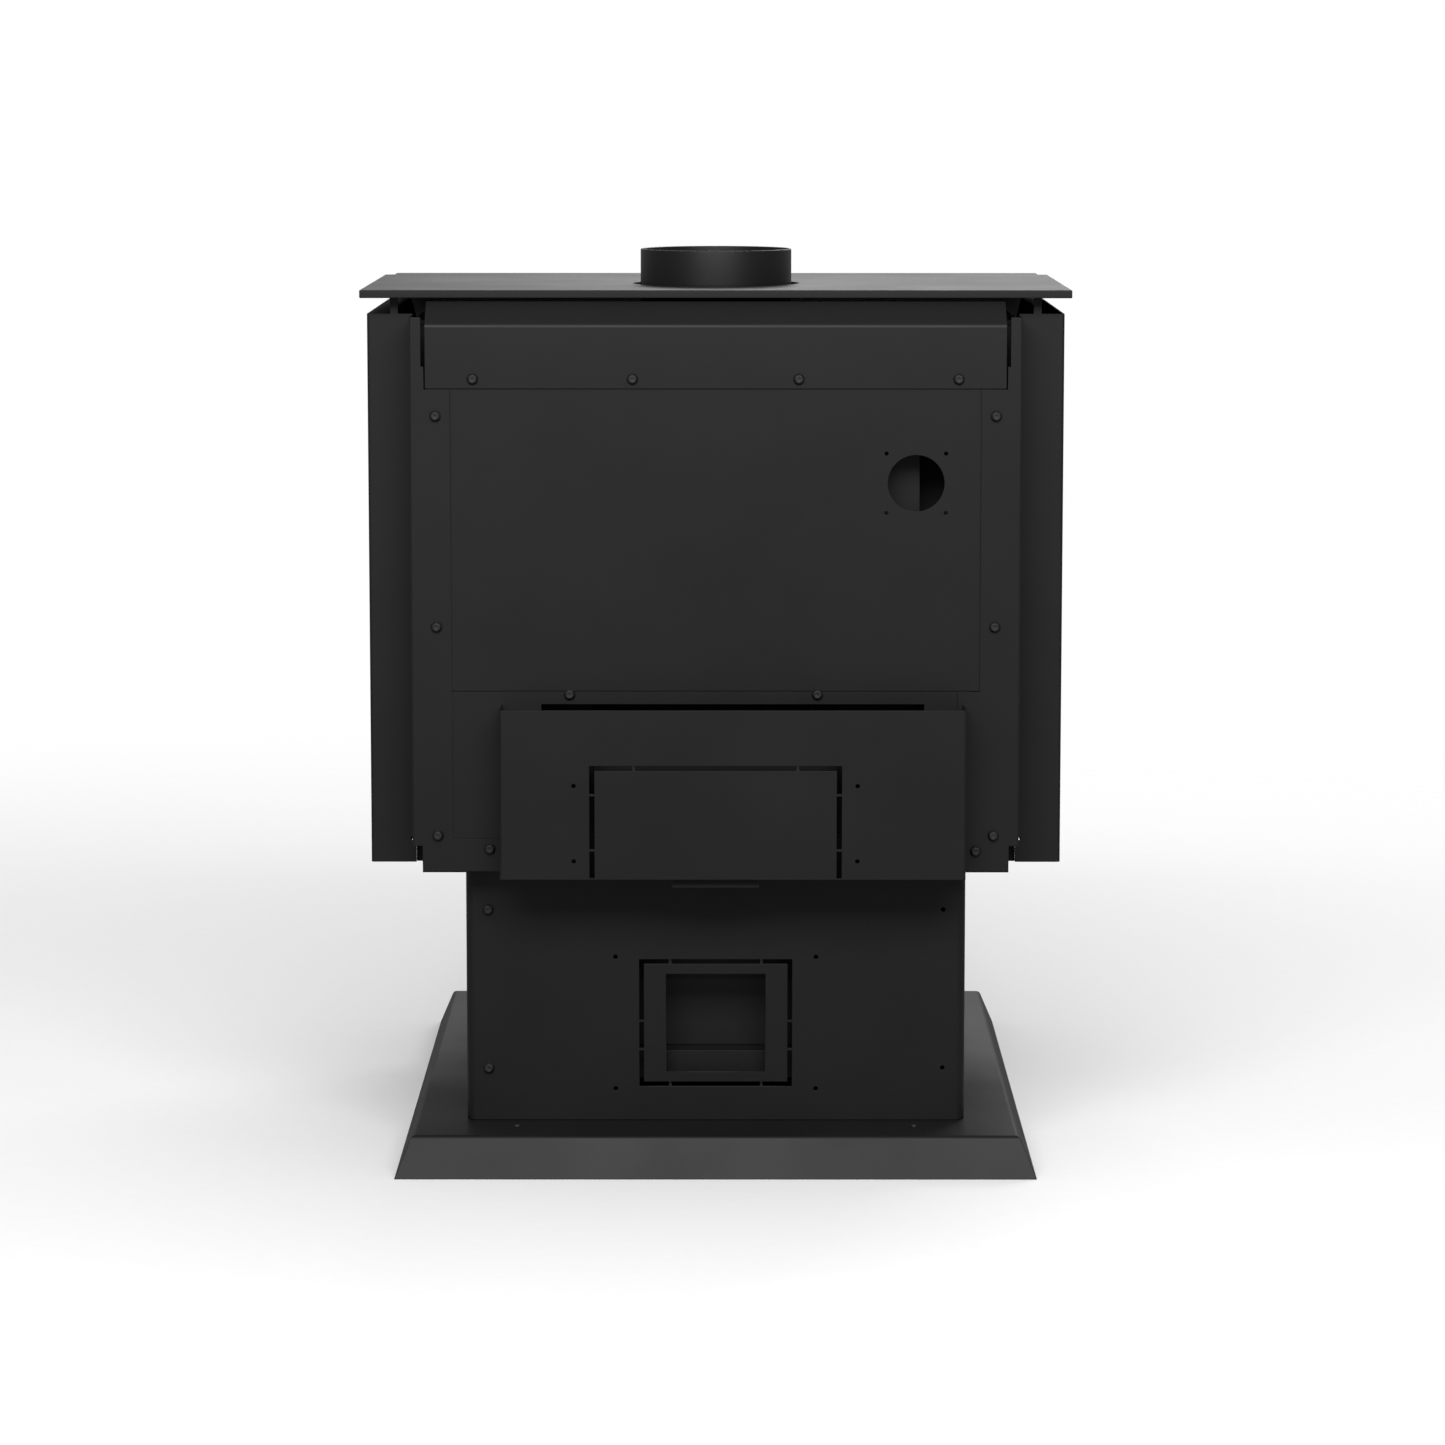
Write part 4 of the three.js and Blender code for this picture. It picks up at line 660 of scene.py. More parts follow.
PLINTH_SCREW_INSET = 52 * MM  # from the pedestal's sides
PLINTH_SCREW_FORWARD = 14 * MM  # of midway between the pedestal and the plinth's rear foot


class STOVE_OT_plinth(bpy.types.Operator):
    """Make the folded plinth and its two fixing screws"""

    bl_idname = "stove.plinth"
    bl_label = "Plinth"

    def execute(self, context):
        sizes = context.scene.stove_sizes
        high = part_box("base_plinth")[1]
        softened(
            "base_plinth", "plinth_tray", "paint", sizes.sheet_edge * 2,
            [fold(z=high.z)], sizes.fold_radius * 1.5, 4,
        )
        pedestal_low, pedestal_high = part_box("pedestal_shell")
        behind = (pedestal_high.y + high.y) / 2 - PLINTH_SCREW_FORWARD
        sides = (pedestal_low.x + PLINTH_SCREW_INSET, pedestal_high.x - PLINTH_SCREW_INSET)
        head = screw_points(radius=3.6 * MM, height=2.2 * MM)
        points = placed(head, [(x, behind, high.z) for x in sides], np.eye(3))
        made("plinth_screws", points, "bolt", STATIC)
        return {"FINISHED"}


def screw_points(radius, height):
    """A pan head with a round driver recess: a low dome turned about Z.

    The rim stands a third of the height, and the recess goes down to nearly the same level.
    """
    rim, recess = height * 0.35, height * 0.3
    profile = np.concatenate([
        [[0, -BOLT_SINK], [radius, -BOLT_SINK], [radius, rim]],
        quarter_round((radius * 0.55, rim), radius * 0.45, (0, 90), 6),
        [[radius * 0.42, height * 0.8], [radius * 0.3, recess], [0, recess]],
    ])
    profile[:, 1] = np.minimum(profile[:, 1], height)
    return revolved(profile, turns=24)


def bolt_points(sizes):
    """A flanged hexagon head turned about Z: the radius is the smaller of a coned profile and the
    distance to the hexagon's flat, flat / cos(angle from the middle of that flat)."""
    flange, flat, height = sizes.bolt_flange, sizes.bolt_flat, sizes.bolt_height
    rim = 1.1 * MM
    corner = flat / math.cos(math.pi / 6)
    profile = np.concatenate([
        [[0, -BOLT_SINK], [flange, -BOLT_SINK]],
        quarter_round((flange - 0.5 * rim, rim * 0.6), 0.5 * rim, (0, 90), 4),
        [[corner + 0.9 * MM, rim * 1.25], [corner + 0.1 * MM, rim * 1.6]],
        [[corner, height - 1.0 * MM], [flat * 0.97, height - 0.15 * MM]],
        [[flat * 0.8, height], [flat * 0.45, height - 0.25 * MM], [0, height - 0.45 * MM]],
    ])

    def hexagon(angle, z):
        within = np.abs((angle + math.pi / 6) % (math.pi / 3) - math.pi / 6)
        return np.where(z > rim * 1.5, flat / np.cos(within), np.inf)

    return revolved(profile, turns=48, outline=hexagon)


def bolts(name, seats, turn_seed, replaced=()):
    """One piece of bolt heads that face the rear, each turned by its own amount about its axis."""
    local = bolt_points(bpy.context.scene.stove_sizes)
    turn = np.random.default_rng(turn_seed).uniform(0, math.pi / 3, len(seats))
    spin = np.zeros((len(seats), 3, 3))
    spin[:, 0, 0] = spin[:, 1, 1] = np.cos(turn)
    spin[:, 0, 1] = np.sin(turn)
    spin[:, 1, 0] = -np.sin(turn)
    spin[:, 2, 2] = 1
    points = np.einsum("rci,kij->krcj", local, spin @ REAR_FACING)
    points += np.asarray(seats)[:, None, None]
    made(name, points, "bolt", STATIC, replaced)


class STOVE_OT_pedestal(bpy.types.Operator):
    """Make the pedestal's wrap and front plate, and its two rear bolts"""

    bl_idname = "stove.pedestal"
    bl_label = "Pedestal"

    def execute(self, context):
        sizes = context.scene.stove_sizes
        softened("pedestal_shell", "pedestal_wrap", "paint", sizes.sheet_edge * 1.4)
        softened("pedestal_front", "pedestal_face", "paint", sizes.sheet_edge * 1.4)
        softened("drawer_shelf", "drawer_runner", "paint", sizes.sheet_edge)
        softened("air_box", "air_channel", "inside", sizes.sheet_edge)
        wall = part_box("pedestal_shell")[1].y
        nodes = ["pedestal_bolt_lower", "pedestal_bolt_upper"]
        middles = [middle_of(*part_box(node)) for node in nodes]
        seats = [(x, wall, z) for x, _, z in middles]
        bolts("pedestal_bolts", seats, turn_seed=3, replaced=nodes)
        return {"FINISHED"}


# ------------------------------------------------------------------ firebox and top


class STOVE_OT_firebox(bpy.types.Operator):
    """Soften the welded firebox plates and the air channels on its rear"""

    bl_idname = "stove.firebox"
    bl_label = "Firebox"

    def execute(self, context):
        sizes = context.scene.stove_sizes
        edge = sizes.plate_edge * 0.8
        softened("firebox_shell", "firebox_box", "inside", edge, segments=2)
        softened("firebox_roof", "firebox_lid", "inside", edge, segments=2)
        softened("firebox_front", "firebox_face", "paint", sizes.plate_edge, segments=2)
        for side in ("left", "right"):
            name = f"air_channel_{side}"
            softened(f"air_riser_{side}", name, "paint", sizes.sheet_edge)
        return {"FINISHED"}


class STOVE_OT_top(bpy.types.Operator):
    """Make the top plates and the flue collar with its weld"""

    bl_idname = "stove.top"
    bl_label = "Top plate and flue collar"

    def execute(self, context):
        sizes = context.scene.stove_sizes
        softened("top_plate", "cooking_plate", "plate", sizes.plate_edge)
        softened("top_bevel_plate", "sloping_plate", "plate", sizes.plate_edge)
        low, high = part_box("flue_collar")
        centre = middle_of(low, high) * [1, 1, 0]
        made(
            "flue_spigot", collar_points(low, high) + centre, "paint", STATIC,
            ["flue_collar"], columns=True,
        )
        outer = (high.x - low.x) / 2
        weld = weld_ring(outer + 0.6 * MM, height=low.z + 1.6 * MM, bead=2.6 * MM)
        made("collar_weld", weld + centre, "inside", STATIC, columns=True)
        return {"FINISHED"}


def collar_points(low, high):
    """The collar's wall turned about Z: a closed profile, its upper rim rounded."""
    outer = (high.x - low.x) / 2
    wall, rim = 3.0 * MM, 1.2 * MM
    middle = (low.z + high.z) / 2
    profile = np.concatenate([
        [[outer, low.z], [outer, middle]],
        quarter_round((outer - rim, high.z - rim), rim, (0, 90)),
        quarter_round((outer - wall + rim, high.z - rim), rim, (90, 180)),
        [[outer - wall, middle], [outer - wall, low.z]],
    ])
    return revolved(profile, turns=144)


def weld_ring(radius, height, bead):
    """A weld bead laid round a pipe: a ring whose thickness swells once for each puddle.

    There are 120 puddles of slightly uneven length, and a slower swell from the welder's hand.
    """
    steps = 720
    angle = np.linspace(0, FULL_TURN, steps, endpoint=False)
    puddle = np.abs(np.sin(angle * 60 + 0.6 * np.sin(angle * 7)))
    thick = bead * (0.82 + 0.18 * puddle + 0.05 * np.sin(angle * 11))
    spoke = np.stack([np.cos(angle), np.sin(angle), np.zeros(steps)], -1)
    centres = spoke * radius + [0, 0, height]
    rise = np.broadcast_to([0.0, 0.0, 1.0], centres.shape)
    return tube(centres, spoke, rise, thick, sides=12, closed=True)


# ------------------------------------------------------------------ convection jacket


class STOVE_OT_sides(bpy.types.Operator):
    """Soften the folded convection panels at the sides"""

    bl_idname = "stove.sides"
    bl_label = "Side panels"

    def execute(self, context):
        sizes = context.scene.stove_sizes
        for side in ("left", "right"):
            name = f"side_jacket_{side}"
            softened(f"side_panel_{side}", name, "paint", sizes.sheet_edge * 1.3)
        return {"FINISHED"}


LIP_RISE = 22 * MM  # of the lip panel's bent edge above its bend
TOP_ROW = (-239.5 * MM, -82 * MM, 82 * MM, 239.5 * MM)  # x of the bolts of the top row
TOP_ROW_DROP = 60.5 * MM  # below the frame's top, like the legs' bolts
LEG_BOLT_DROPS = (97 * MM, 306 * MM, 515 * MM)
LEG_BOLT_INSET = 25.5 * MM  # from the frame's edge
DUCT_BOLT_RISE = 10 * MM  # above the duct's top
DUCT_BOLT_INSETS = (68 * MM, 146 * MM)  # from the duct's +X and -X sides
SKIRT_BOLT_REACH = 12 * MM  # outside the duct
SKIRT_BOLT_RISES = (24 * MM, 22 * MM)  # above the skirt's foot, on the +X and -X sides


class STOVE_OT_rear(bpy.types.Operator):
    """Fold the rear shield's panels and put in their bolts"""

    bl_idname = "stove.rear"
    bl_label = "Rear shield"

    def execute(self, context):
        sizes = context.scene.stove_sizes
        low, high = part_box("rear_frame")
        softened(
            "rear_frame", "shield_frame", "paint", sizes.sheet_edge,
            [fold(x=low.x, y=high.y), fold(x=high.x, y=high.y), fold(y=high.y, z=low.z)],
            sizes.fold_radius * 0.8,
        )
        lip_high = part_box("rear_lip_panel")[1]
        softened(
            "rear_lip_panel", "shield_lip", "paint", sizes.sheet_edge,
            [fold(y=lip_high.y, z=lip_high.z - LIP_RISE)], sizes.fold_radius,
        )
        softened("rear_centre_panel", "shield_centre", "paint", sizes.sheet_edge * 0.8)
        softened("rear_lower_panel", "shield_lower", "paint", sizes.sheet_edge * 0.8)
        duct_low, duct_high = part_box("duct_cover")
        softened(
            "duct_cover", "blower_duct", "paint", sizes.sheet_edge,
            [fold(x=x, y=duct_high.y) for x in (duct_low.x, duct_high.x)], sizes.fold_radius,
        )
        bolts("shield_bolts", shield_bolt_seats(), turn_seed=11)
        return {"FINISHED"}


def shield_bolt_seats():
    """Seats on the shield: a top row, three down each leg, two over the duct, two beside it."""
    low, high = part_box("rear_frame")
    duct_low, duct_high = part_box("duct_cover")
    panel_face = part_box("rear_lower_panel")[1].y
    seats = [(x, high.y, high.z - TOP_ROW_DROP) for x in TOP_ROW]
    for drop in LEG_BOLT_DROPS:
        seats += [
            (x, high.y, high.z - drop) for x in (low.x + LEG_BOLT_INSET, high.x - LEG_BOLT_INSET)
        ]
    over_duct = duct_high.z + DUCT_BOLT_RISE
    seats += [
        (duct_high.x - DUCT_BOLT_INSETS[0], panel_face, over_duct),
        (duct_low.x + DUCT_BOLT_INSETS[1], panel_face, over_duct),
        (duct_high.x + SKIRT_BOLT_REACH, high.y, low.z + SKIRT_BOLT_RISES[0]),
        (duct_low.x - SKIRT_BOLT_REACH, high.y, low.z + SKIRT_BOLT_RISES[1]),
    ]
    return seats


# ------------------------------------------------------------------ lining


def split(low, high, cell, joint):
    """Boxes of about the cell size that fill a box, with a joint between them, as two arrays."""
    low, high = np.array(low), np.array(high)
    counts = np.maximum(1, np.round((high - low) / np.array(cell))).astype(int)
    step = (high - low) / counts
    index = np.stack(np.meshgrid(*[np.arange(n) for n in counts], indexing="ij"), -1).reshape(-1, 3)
    inner_low = low + index * step + np.where(index > 0, joint / 2, 0)
    inner_high = low + (index + 1) * step - np.where(index < counts - 1, joint / 2, 0)
    return inner_low, inner_high


class STOVE_OT_lining(bpy.types.Operator):
    """Lay the firebricks, baffle boards, blanket and secondary air tubes"""

    bl_idname = "stove.lining"
    bl_label = "Lining"

    def execute(self, context):
        sizes = context.scene.stove_sizes
        thick = 1.0  # more than the lining's thickness, so that it is never split that way
        cells = {
            "floor": (sizes.brick_width, sizes.brick_length, thick),
            "rear": (sizes.brick_width, thick, sizes.brick_length),
            "side": (thick, sizes.brick_width, sizes.brick_length),
        }
        for node in [n for n in frame["nodes"] if "_brick_" in n]:
            low, high = split(*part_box(node), cells[node.split("_")[0]], sizes.brick_joint)
            blocks = rounded_blocks(low, high, corner=2.0 * MM, edge=1.6 * MM)
            name = node.replace("_brick_", "_firebrick_")
            made(name, worn(blocks, seed=5), "brick", STATIC, [node])
        for node in ("baffle_board_left", "baffle_board_right"):
            board = rounded_blocks(*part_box(node), corner=2.5 * MM, edge=1.5 * MM)
            made(node.replace("board", "plate"), board, "board", STATIC, [node])
        made(
            "fibre_blanket", blanket_points(*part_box("baffle_blanket")), "blanket", STATIC,
            ["baffle_blanket"],
        )
        for node in [n for n in frame["nodes"] if n.startswith("secondary_air_tube")]:
            piece = made(
                node.replace("secondary_air_tube", "air_jet_tube"),
                jet_tube_points(*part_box(node), sizes.tube_holes), "tube", STATIC,
                [node], rows=False, columns=True,
            )
            wall = piece.modifiers.new("Tube wall", "SOLIDIFY")
            wall.thickness = 1.6 * MM
            wall.offset = -1
        softened("ash_plug", "ash_lid_casting", "casting", sizes.cast_edge * 0.7)
        return {"FINISHED"}


def worn(points, seed):
    """Moves brick surfaces inwards by up to half a millimetre, in soft waves of about 3 cm.

    The wave is a product of sines of the place, with its own phase in each axis.
    """
    phase = np.random.default_rng(seed).uniform(0, FULL_TURN, 3)
    wave = np.prod(np.sin(points * (FULL_TURN / 0.031) + phase), axis=-1, keepdims=True)
    centre = points.mean(axis=(1, 2), keepdims=True)
    inward = centre - points
    length = np.linalg.norm(inward, axis=-1, keepdims=True)
    return points + inward / np.maximum(length, 1e-9) * 0.25 * MM * (1 + wave)


def blanket_points(low, high):
    """A mat whose upper face rolls in low waves, the sum of two sines of the place in plan.

    The plan outline is walked by the first parameter, and the second goes from the middle of the
    underside, over the swollen edge, to the middle of the top.
    """
    centre, half = middle_of(low, high), (np.array(high) - np.array(low)) / 2
    inset, bulge, steps = 3 * MM, 2.2 * MM, 14
    loop, spoke = rounded_loop(half[0] - inset, half[1] - inset, 8 * MM, 160)
    out, none = np.linspace(0, 1, steps), np.zeros(steps)
    share = np.concatenate([out, [1.0, 1.0], out[::-1]])
    swell = np.concatenate([none, [bulge, bulge], none])
    thick = np.concatenate([none, [0.3, 0.7], np.ones(steps)])
    plan = loop[:, None] * share[None, :, None] + spoke[:, None] * swell[None, :, None]
    x, y = plan[..., 0], plan[..., 1]
    roll = 0.5 + 0.25 * np.sin(x * 55 + 1.1) + 0.25 * np.sin(y * 74 + x * 21)
    height = low[2] + 2 * half[2] * thick[None] * (0.72 + 0.28 * roll)
    return np.concatenate([plan + centre[:2], height[..., None]], axis=-1)


def jet_tube_points(low, high, holes):
    """A tube along X with two rows of small air holes along its underside.

    Radius over the length and angle; at a hole the wall dips inwards in a steep round well:
    depth times one minus a smooth step of the distance from the hole's middle. The length is
    sampled closely at the holes and widely between them.
    """
    radius = (high.z - low.z) / 2
    centre = (low + high) / 2
    well, depth, end = 2.3 * MM, 1.5 * MM, 22 * MM
    middles = np.linspace(low.x + end, high.x - end, holes)
    near = np.linspace(-1.25, 1.25, 9) * well
    along = np.concatenate([[low.x], (middles[:, None] + near).ravel(), [high.x]])
    rows = np.radians([-52.0, -108.0])
    plain = np.radians(np.linspace(-20, 200, 22))
    holed = (rows[:, None] + near / radius).ravel() % FULL_TURN
    angle = np.sort(np.concatenate([plain, holed]))
    from_hole = np.abs(along[:, None] - middles).min(axis=1)
    turned = np.abs((angle[:, None] - rows + math.pi) % FULL_TURN - math.pi).min(axis=1) * radius
    distance = np.hypot(from_hole[:, None], turned[None])
    share = np.clip((distance / well - 0.8) / 0.35, 0, 1)
    r = radius - depth * (1 - share * share * (3 - 2 * share))
    y = centre.y + r * np.cos(angle)
    z = centre.z + r * np.sin(angle)
    x = np.broadcast_to(along[:, None], r.shape)
    return np.stack([x, y, z], axis=-1)


# ------------------------------------------------------------------ door


class STOVE_OT_door(bpy.types.Operator):
    """Make the cast door, its glass, gaskets, clips, hinges and latch"""

    bl_idname = "stove.door"
    bl_label = "Door"

    def execute(self, context):
        sizes = context.scene.stove_sizes
        softened(
            "door_frame", "door_casting", "casting", sizes.sheet_edge,
            [fold(y=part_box("door_frame")[0].y)], sizes.cast_edge,
        )
        softened("door_glass", "door_pane", "glass", sizes.sheet_edge * 1.4, segments=2)
        softened("glass_gasket", "pane_tape", "rope", sizes.sheet_edge)
        for end in ("bottom", "top"):
            name = f"pane_clip_{end}"
            softened(f"glass_retainer_{end}", name, "steel_x", sizes.sheet_edge)
        made("pane_clip_screws", clip_screw_points(), "steel_z", "door")
        made(
            "door_rope", rope_points(*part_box("door_gasket")), "rope", "door",
            ["door_gasket"], columns=True,
        )
        for level in ("lower", "upper"):
            leaf, pin = f"hinge_leaf_{level}", f"hinge_bolt_{level}"
            softened(f"hinge_bracket_{level}", leaf, "casting", sizes.plate_edge)
            softened(f"hinge_pin_{level}", pin, "steel_z", sizes.sheet_edge * 1.5)
        softened("latch_cam", "latch_finger", "steel_z", sizes.sheet_edge * 1.6)
        softened("latch_catch", "latch_keeper", "steel_z", sizes.sheet_edge * 1.6)
        self.handle(sizes)
        return {"FINISHED"}

    def handle(self, sizes):
        """The bent rod and its barrel-shaped spring grip."""
        low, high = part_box("door_handle")
        rod = (high.x - low.x) / 2
        x = (low.x + high.x) / 2
        pivot_z, grip_y = high.z - rod, low.y + rod
        corners = [(x, high.y, pivot_z), (x, grip_y, pivot_z), (x, grip_y, low.z)]
        line = bent_line(corners, radius=14 * MM, step=1.5 * MM, plane_normal=(1, 0, 0))
        made(
            "handle_rod", tube(*line, rod, sides=32), "steel_z", "door_latch",
            ["door_handle"], rows=False, columns=True,
        )
        grip_low, grip_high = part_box("handle_grip")
        outer = (grip_high.x - grip_low.x) / 2
        length = grip_high.z - grip_low.z
        coil = barrel_coil(length, outer, rod, sizes.spring_wire, pitch=3.1 * MM)
        made(
            "grip_spring", coil + [x, grip_y, grip_low.z], "spring", "door_latch",
            ["handle_grip"], rows=False, columns=True,
        )


def clip_screw_points():
    """Three pan-head screws on the rear of each glass clip."""
    seats = []
    inset = 30 * MM
    for end in ("bottom", "top"):
        low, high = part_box(f"glass_retainer_{end}")
        z = (low.z + high.z) / 2
        seats += [(x, high.y, z) for x in (low.x + inset, 0.0, high.x - inset)]
    return placed(screw_points(radius=3.2 * MM, height=1.7 * MM), seats, REAR_FACING)


def rope_points(low, high):
    """A woven rope laid in a rounded rectangle.

    The centreline is the rectangle; the rope's radius is modulated by two families of yarns that
    wind opposite ways, |sin(4a + kt)| and |sin(4a - kt)|, for a along the section and t the rim.
    """
    radius = 11.4 * MM / 2
    crossings, steps, sides = 190, 2200, 24
    centre, half = middle_of(low, high), (np.array(high) - np.array(low)) / 2
    loop, spoke = rounded_loop(half[0] - radius, half[2] - radius, 14 * MM, steps)
    level = np.zeros(steps)
    centres = np.stack([loop[:, 0], level, loop[:, 1]], -1) + centre
    outward = np.stack([spoke[:, 0], level, spoke[:, 1]], -1)
    facing = np.broadcast_to([0.0, 1.0, 0.0], outward.shape)
    angle = np.linspace(0, FULL_TURN, sides, endpoint=False)
    t = np.arange(steps)[:, None] * (math.pi * crossings / steps)
    yarn = np.maximum(np.abs(np.sin(4 * angle + t)), np.abs(np.sin(4 * angle - t)))
    swell = 0.9 + 0.1 * yarn
    flatten = half[1] / radius
    side = np.cos(angle)[None, :, None] * outward[:, None]
    deep = np.sin(angle)[None, :, None] * facing[:, None] * flatten
    return centres[:, None] + radius * swell[..., None] * (side + deep)


def barrel_coil(length, outer, inner, wire, pitch):
    """Wire wound in a barrel about Z, climbing one pitch for each turn.

    The coil's radius is inner + (outer - inner) * sin(pi s)^0.4 over the share s of the length.
    """
    turns = (length - 2 * wire) / pitch
    steps_each = 30
    steps = int(turns * steps_each)
    share = np.linspace(0, 1, steps)
    angle = share * turns * FULL_TURN
    bulge = np.sin(np.clip(share, 0.004, 0.996) * math.pi) ** 0.4
    coil = inner + wire + (outer - inner - 2 * wire) * bulge
    spoke = np.stack([np.cos(angle), np.sin(angle), np.zeros(steps)], -1)
    centres = spoke * coil[:, None]
    centres[:, 2] = wire + share * (length - 2 * wire)
    rise = np.broadcast_to([0.0, 0.0, 1.0], centres.shape)
    return tube(centres, spoke, rise, wire, sides=12)


# ------------------------------------------------------------------ drawer and air control


class STOVE_OT_drawer(bpy.types.Operator):
    """Make the ash drawer, its bent handle and the ash lip"""

    bl_idname = "stove.drawer"
    bl_label = "Ash drawer and lip"

    def execute(self, context):
        sizes = context.scene.stove_sizes
        softened("ash_drawer_pan", "ash_pan", "paint", sizes.sheet_edge)
        softened("ash_drawer_front", "ash_pan_face", "paint", sizes.plate_edge)
        softened("ash_lip", "ash_shelf", "paint", sizes.sheet_edge * 1.5)
        low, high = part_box("ash_drawer_handle")
        rod = (high.z - low.z) / 2
        z = (low.z + high.z) / 2
        bar_y = low.y + rod
        left, right = low.x + rod, high.x - rod
        corners = [(left, high.y, z), (left, bar_y, z), (right, bar_y, z), (right, high.y, z)]
        line = bent_line(corners, radius=12 * MM, step=1.5 * MM, plane_normal=(0, 0, 1))
        made(
            "drawer_pull", tube(*line, rod, sides=28), "steel_x", "ash_drawer",
            ["ash_drawer_handle"], rows=False, columns=True,
        )
        return {"FINISHED"}


class STOVE_OT_air_control(bpy.types.Operator):
    """Make the combustion air damper, its rod and spring knob"""

    bl_idname = "stove.air_control"
    bl_label = "Air control"

    def execute(self, context):
        sizes = context.scene.stove_sizes
        softened("air_damper", "damper_slide", "steel_x", sizes.sheet_edge)
        softened("air_control_rod", "damper_rod", "steel_y", sizes.sheet_edge)
        low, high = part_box("air_control_knob")
        outer, length = (high.x - low.x) / 2, high.y - low.y
        inner, pitch, core = 3.0 * MM, 3.0 * MM, 3.2 * MM
        foot = np.array([(low.x + high.x) / 2, low.y, (low.z + high.z) / 2])
        along_y = [0, 2, 1]
        coil = barrel_coil(length, outer, inner, sizes.spring_wire, pitch)
        made(
            "knob_spring", coil[..., along_y] + foot, "spring", "air_control",
            ["air_control_knob"], rows=False, columns=True,
        )
        profile = np.array([[0, 0], [core, 0.8 * MM], [core, length], [0, length]])
        pin = revolved(profile, turns=24)
        made("knob_core", pin[..., along_y] + foot, "steel_y", "air_control")
        return {"FINISHED"}


# ------------------------------------------------------------------ stage


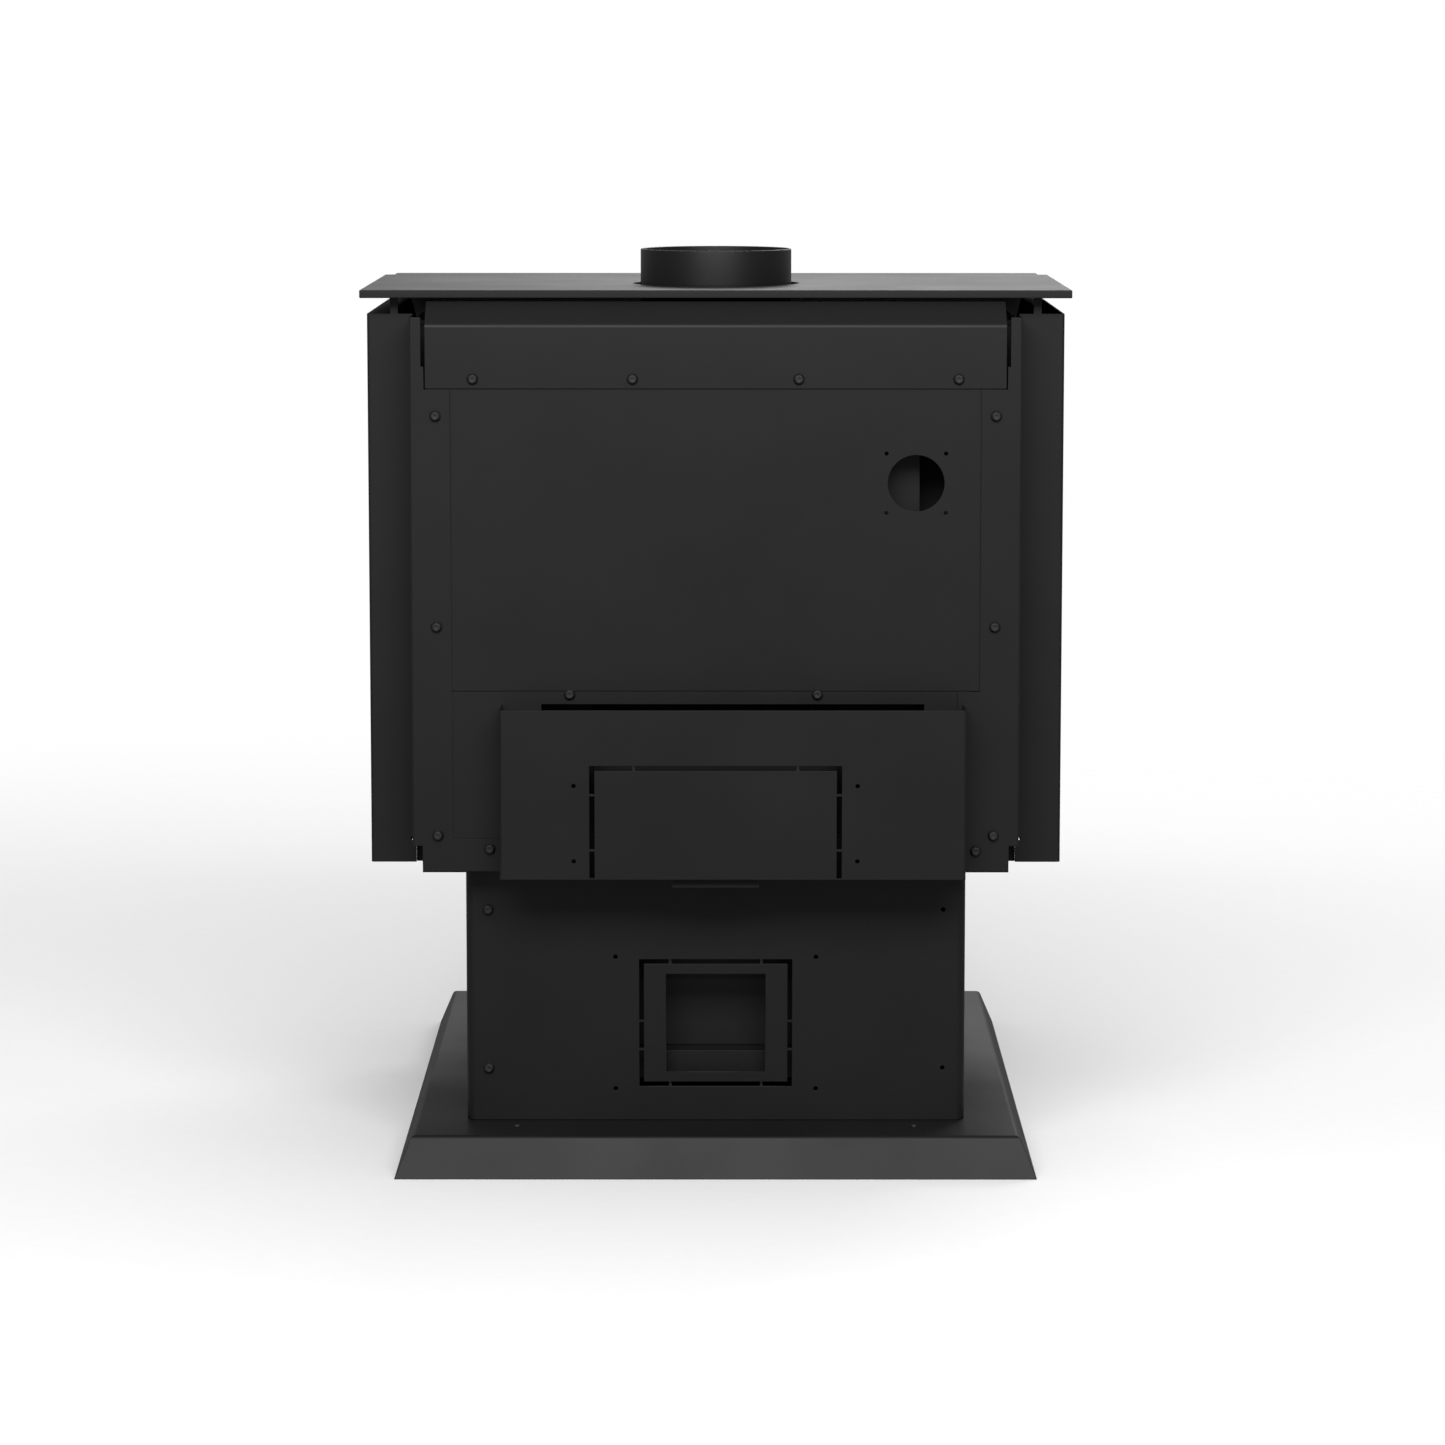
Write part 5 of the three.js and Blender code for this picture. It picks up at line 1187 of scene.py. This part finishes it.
class STOVE_OT_stage(bpy.types.Operator):
    """Lay the pale floor and set the studio light and the camera"""

    bl_idname = "stove.stage"
    bl_label = "Stage"

    def execute(self, context):
        stage = context.scene.stove_stage
        self.floor()
        self.room(context, stage)
        self.lights(stage)
        self.camera(context, stage)
        return {"FINISHED"}

    def floor(self):
        """A round floor, rings of points round the origin.

        It is pale to the eye, dull in the light it throws back, and fades out far from the stove.
        """
        sides, fade_start, fade_end = 96, 1.1, 3.2
        radius = np.array([0.0, 1.0, 2.0, 4.0, 8.0])
        angle = np.linspace(0, FULL_TURN, sides, endpoint=False)[:, None]
        level = np.zeros((sides, len(radius)))
        points = np.stack([radius * np.cos(angle), radius * np.sin(angle), level], -1)
        mesh = grid_mesh("floor", points, closed_rows=True)
        floor = bpy.data.objects.new("floor", mesh)
        bpy.context.scene.collection.objects.link(floor)
        if mesh.polygons[0].normal.z < 0:
            mesh.flip_normals()
        g = Graph("floor_pale", (0.93, 0.93, 0.93), 0.9, specular=0.1)
        grain = g.noise(60.0, 3.0)
        g.feed("Base Color", g.blend(grain, (0.92, 0.92, 0.92, 1), (0.95, 0.95, 0.95, 1)))
        output = next(n for n in g.tree.nodes if n.type == "OUTPUT_MATERIAL")
        length = g.add("ShaderNodeVectorMath", {0: g.place}, operation="LENGTH").outputs["Value"]
        inputs = {0: length, 1: fade_start, 2: fade_end}
        away = g.add("ShaderNodeMapRange", inputs, interpolation_type="SMOOTHSTEP")
        clear = g.add("ShaderNodeBsdfTransparent", {})
        dull = g.add("ShaderNodeBsdfDiffuse", {"Color": (0.3, 0.3, 0.3, 1)})
        eye = g.add("ShaderNodeLightPath", {}).outputs["Is Camera Ray"]
        lit = g.add("ShaderNodeMixShader", {0: eye, 1: dull.outputs[0], 2: g.shader.outputs[0]})
        inputs = {0: away.outputs[0], 1: lit.outputs[0], 2: clear.outputs[0]}
        fade = g.add("ShaderNodeMixShader", inputs)
        g.tree.links.new(fade.outputs[0], output.inputs["Surface"])
        mesh.materials.append(g.material)

    def room(self, context, stage):
        """White to the eye, and an even dim light on the stove."""
        white = (1, 1, 1, 1)
        world = bpy.data.worlds.new("studio_room")
        context.scene.world = world
        world.use_nodes = True
        nodes, links = world.node_tree.nodes, world.node_tree.links
        light = nodes["Background"]
        light.inputs["Color"].default_value = white
        light.inputs["Strength"].default_value = stage.room_light
        seen = nodes.new("ShaderNodeBackground")
        seen.inputs["Color"].default_value = white
        path = nodes.new("ShaderNodeLightPath")
        mix = nodes.new("ShaderNodeMixShader")
        links.new(path.outputs["Is Camera Ray"], mix.inputs[0])
        links.new(light.outputs[0], mix.inputs[1])
        links.new(seen.outputs[0], mix.inputs[2])
        output = next(n for n in nodes if n.type == "OUTPUT_WORLD")
        links.new(mix.outputs[0], output.inputs["Surface"])
        view = context.scene.view_settings
        view.view_transform = "Standard"
        view.look = "None"

    def lights(self, stage):
        """Softboxes, high up: one behind the stove and one before it."""
        middle = Vector((0, 0, 0.45))  # of the stove
        plans = [  # name, place, size, power
            ("rear_softbox", (0.0, 3.4, 2.6), (3.6, 1.4), stage.key_power),
            ("front_softbox", (-0.9, -3.2, 2.9), (3.0, 1.4), stage.front_power),
        ]
        for name, place, size, power in plans:
            data = bpy.data.lights.new(name, "AREA")
            data.shape = "RECTANGLE"
            data.size, data.size_y = size
            data.energy = power
            lamp = bpy.data.objects.new(name, data)
            bpy.context.scene.collection.objects.link(lamp)
            lamp.location = place
            toward = middle - Vector(place)
            lamp.rotation_euler = toward.to_track_quat("-Z", "Y").to_euler()
            lamp.visible_camera = False

    def camera(self, context, stage):
        """Behind the stove, a little above its top, looking towards -Y and slightly down."""
        data = bpy.data.cameras.new("studio_camera")
        data.sensor_width = 36
        data.lens = stage.camera_lens
        camera = bpy.data.objects.new("studio_camera", data)
        context.scene.collection.objects.link(camera)
        turn = Matrix.Rotation(math.pi, 4, "Z")
        tilt = Matrix.Rotation(math.pi / 2 - stage.camera_pitch, 4, "X")
        roll = Matrix.Rotation(stage.camera_roll, 4, "Z")
        camera.matrix_world = Matrix.Translation(stage.camera_place) @ turn @ tilt @ roll
        context.scene.camera = camera


# ------------------------------------------------------------------ panel and registration

OPERATORS = (
    STOVE_OT_plinth,
    STOVE_OT_pedestal,
    STOVE_OT_firebox,
    STOVE_OT_top,
    STOVE_OT_sides,
    STOVE_OT_rear,
    STOVE_OT_lining,
    STOVE_OT_door,
    STOVE_OT_drawer,
    STOVE_OT_air_control,
    STOVE_OT_stage,
)


class STOVE_PT_panel(bpy.types.Panel):
    """The stove's sizes, colours and building steps"""

    bl_idname = "STOVE_PT_panel"
    bl_label = "Wood Burning Stove"
    bl_space_type = "VIEW_3D"
    bl_region_type = "UI"
    bl_category = "Stove"

    def draw(self, context):
        scene = context.scene
        for group in (scene.stove_sizes, scene.stove_colours, scene.stove_stage):
            box = self.layout.box()
            for name in group.bl_rna.properties.keys():
                if name not in ("rna_type", "name"):
                    box.prop(group, name)
        for operator in OPERATORS:
            self.layout.operator(operator.bl_idname)


GROUPS = {"stove_sizes": StoveSizes, "stove_colours": StoveColours, "stove_stage": StoveStage}
CLASSES = (*GROUPS.values(), *OPERATORS, STOVE_PT_panel)


def register():
    for item in CLASSES:
        bpy.utils.register_class(item)
    for name, group in GROUPS.items():
        setattr(bpy.types.Scene, name, PointerProperty(type=group))


def unregister():
    for name in GROUPS:
        delattr(bpy.types.Scene, name)
    for item in reversed(CLASSES):
        bpy.utils.unregister_class(item)


def main():
    """Builds the stove and its stage."""
    register()
    for operator in OPERATORS:
        group, name = operator.bl_idname.split(".")
        getattr(getattr(bpy.ops, group), name)()


if __name__ == "__main__":
    main()
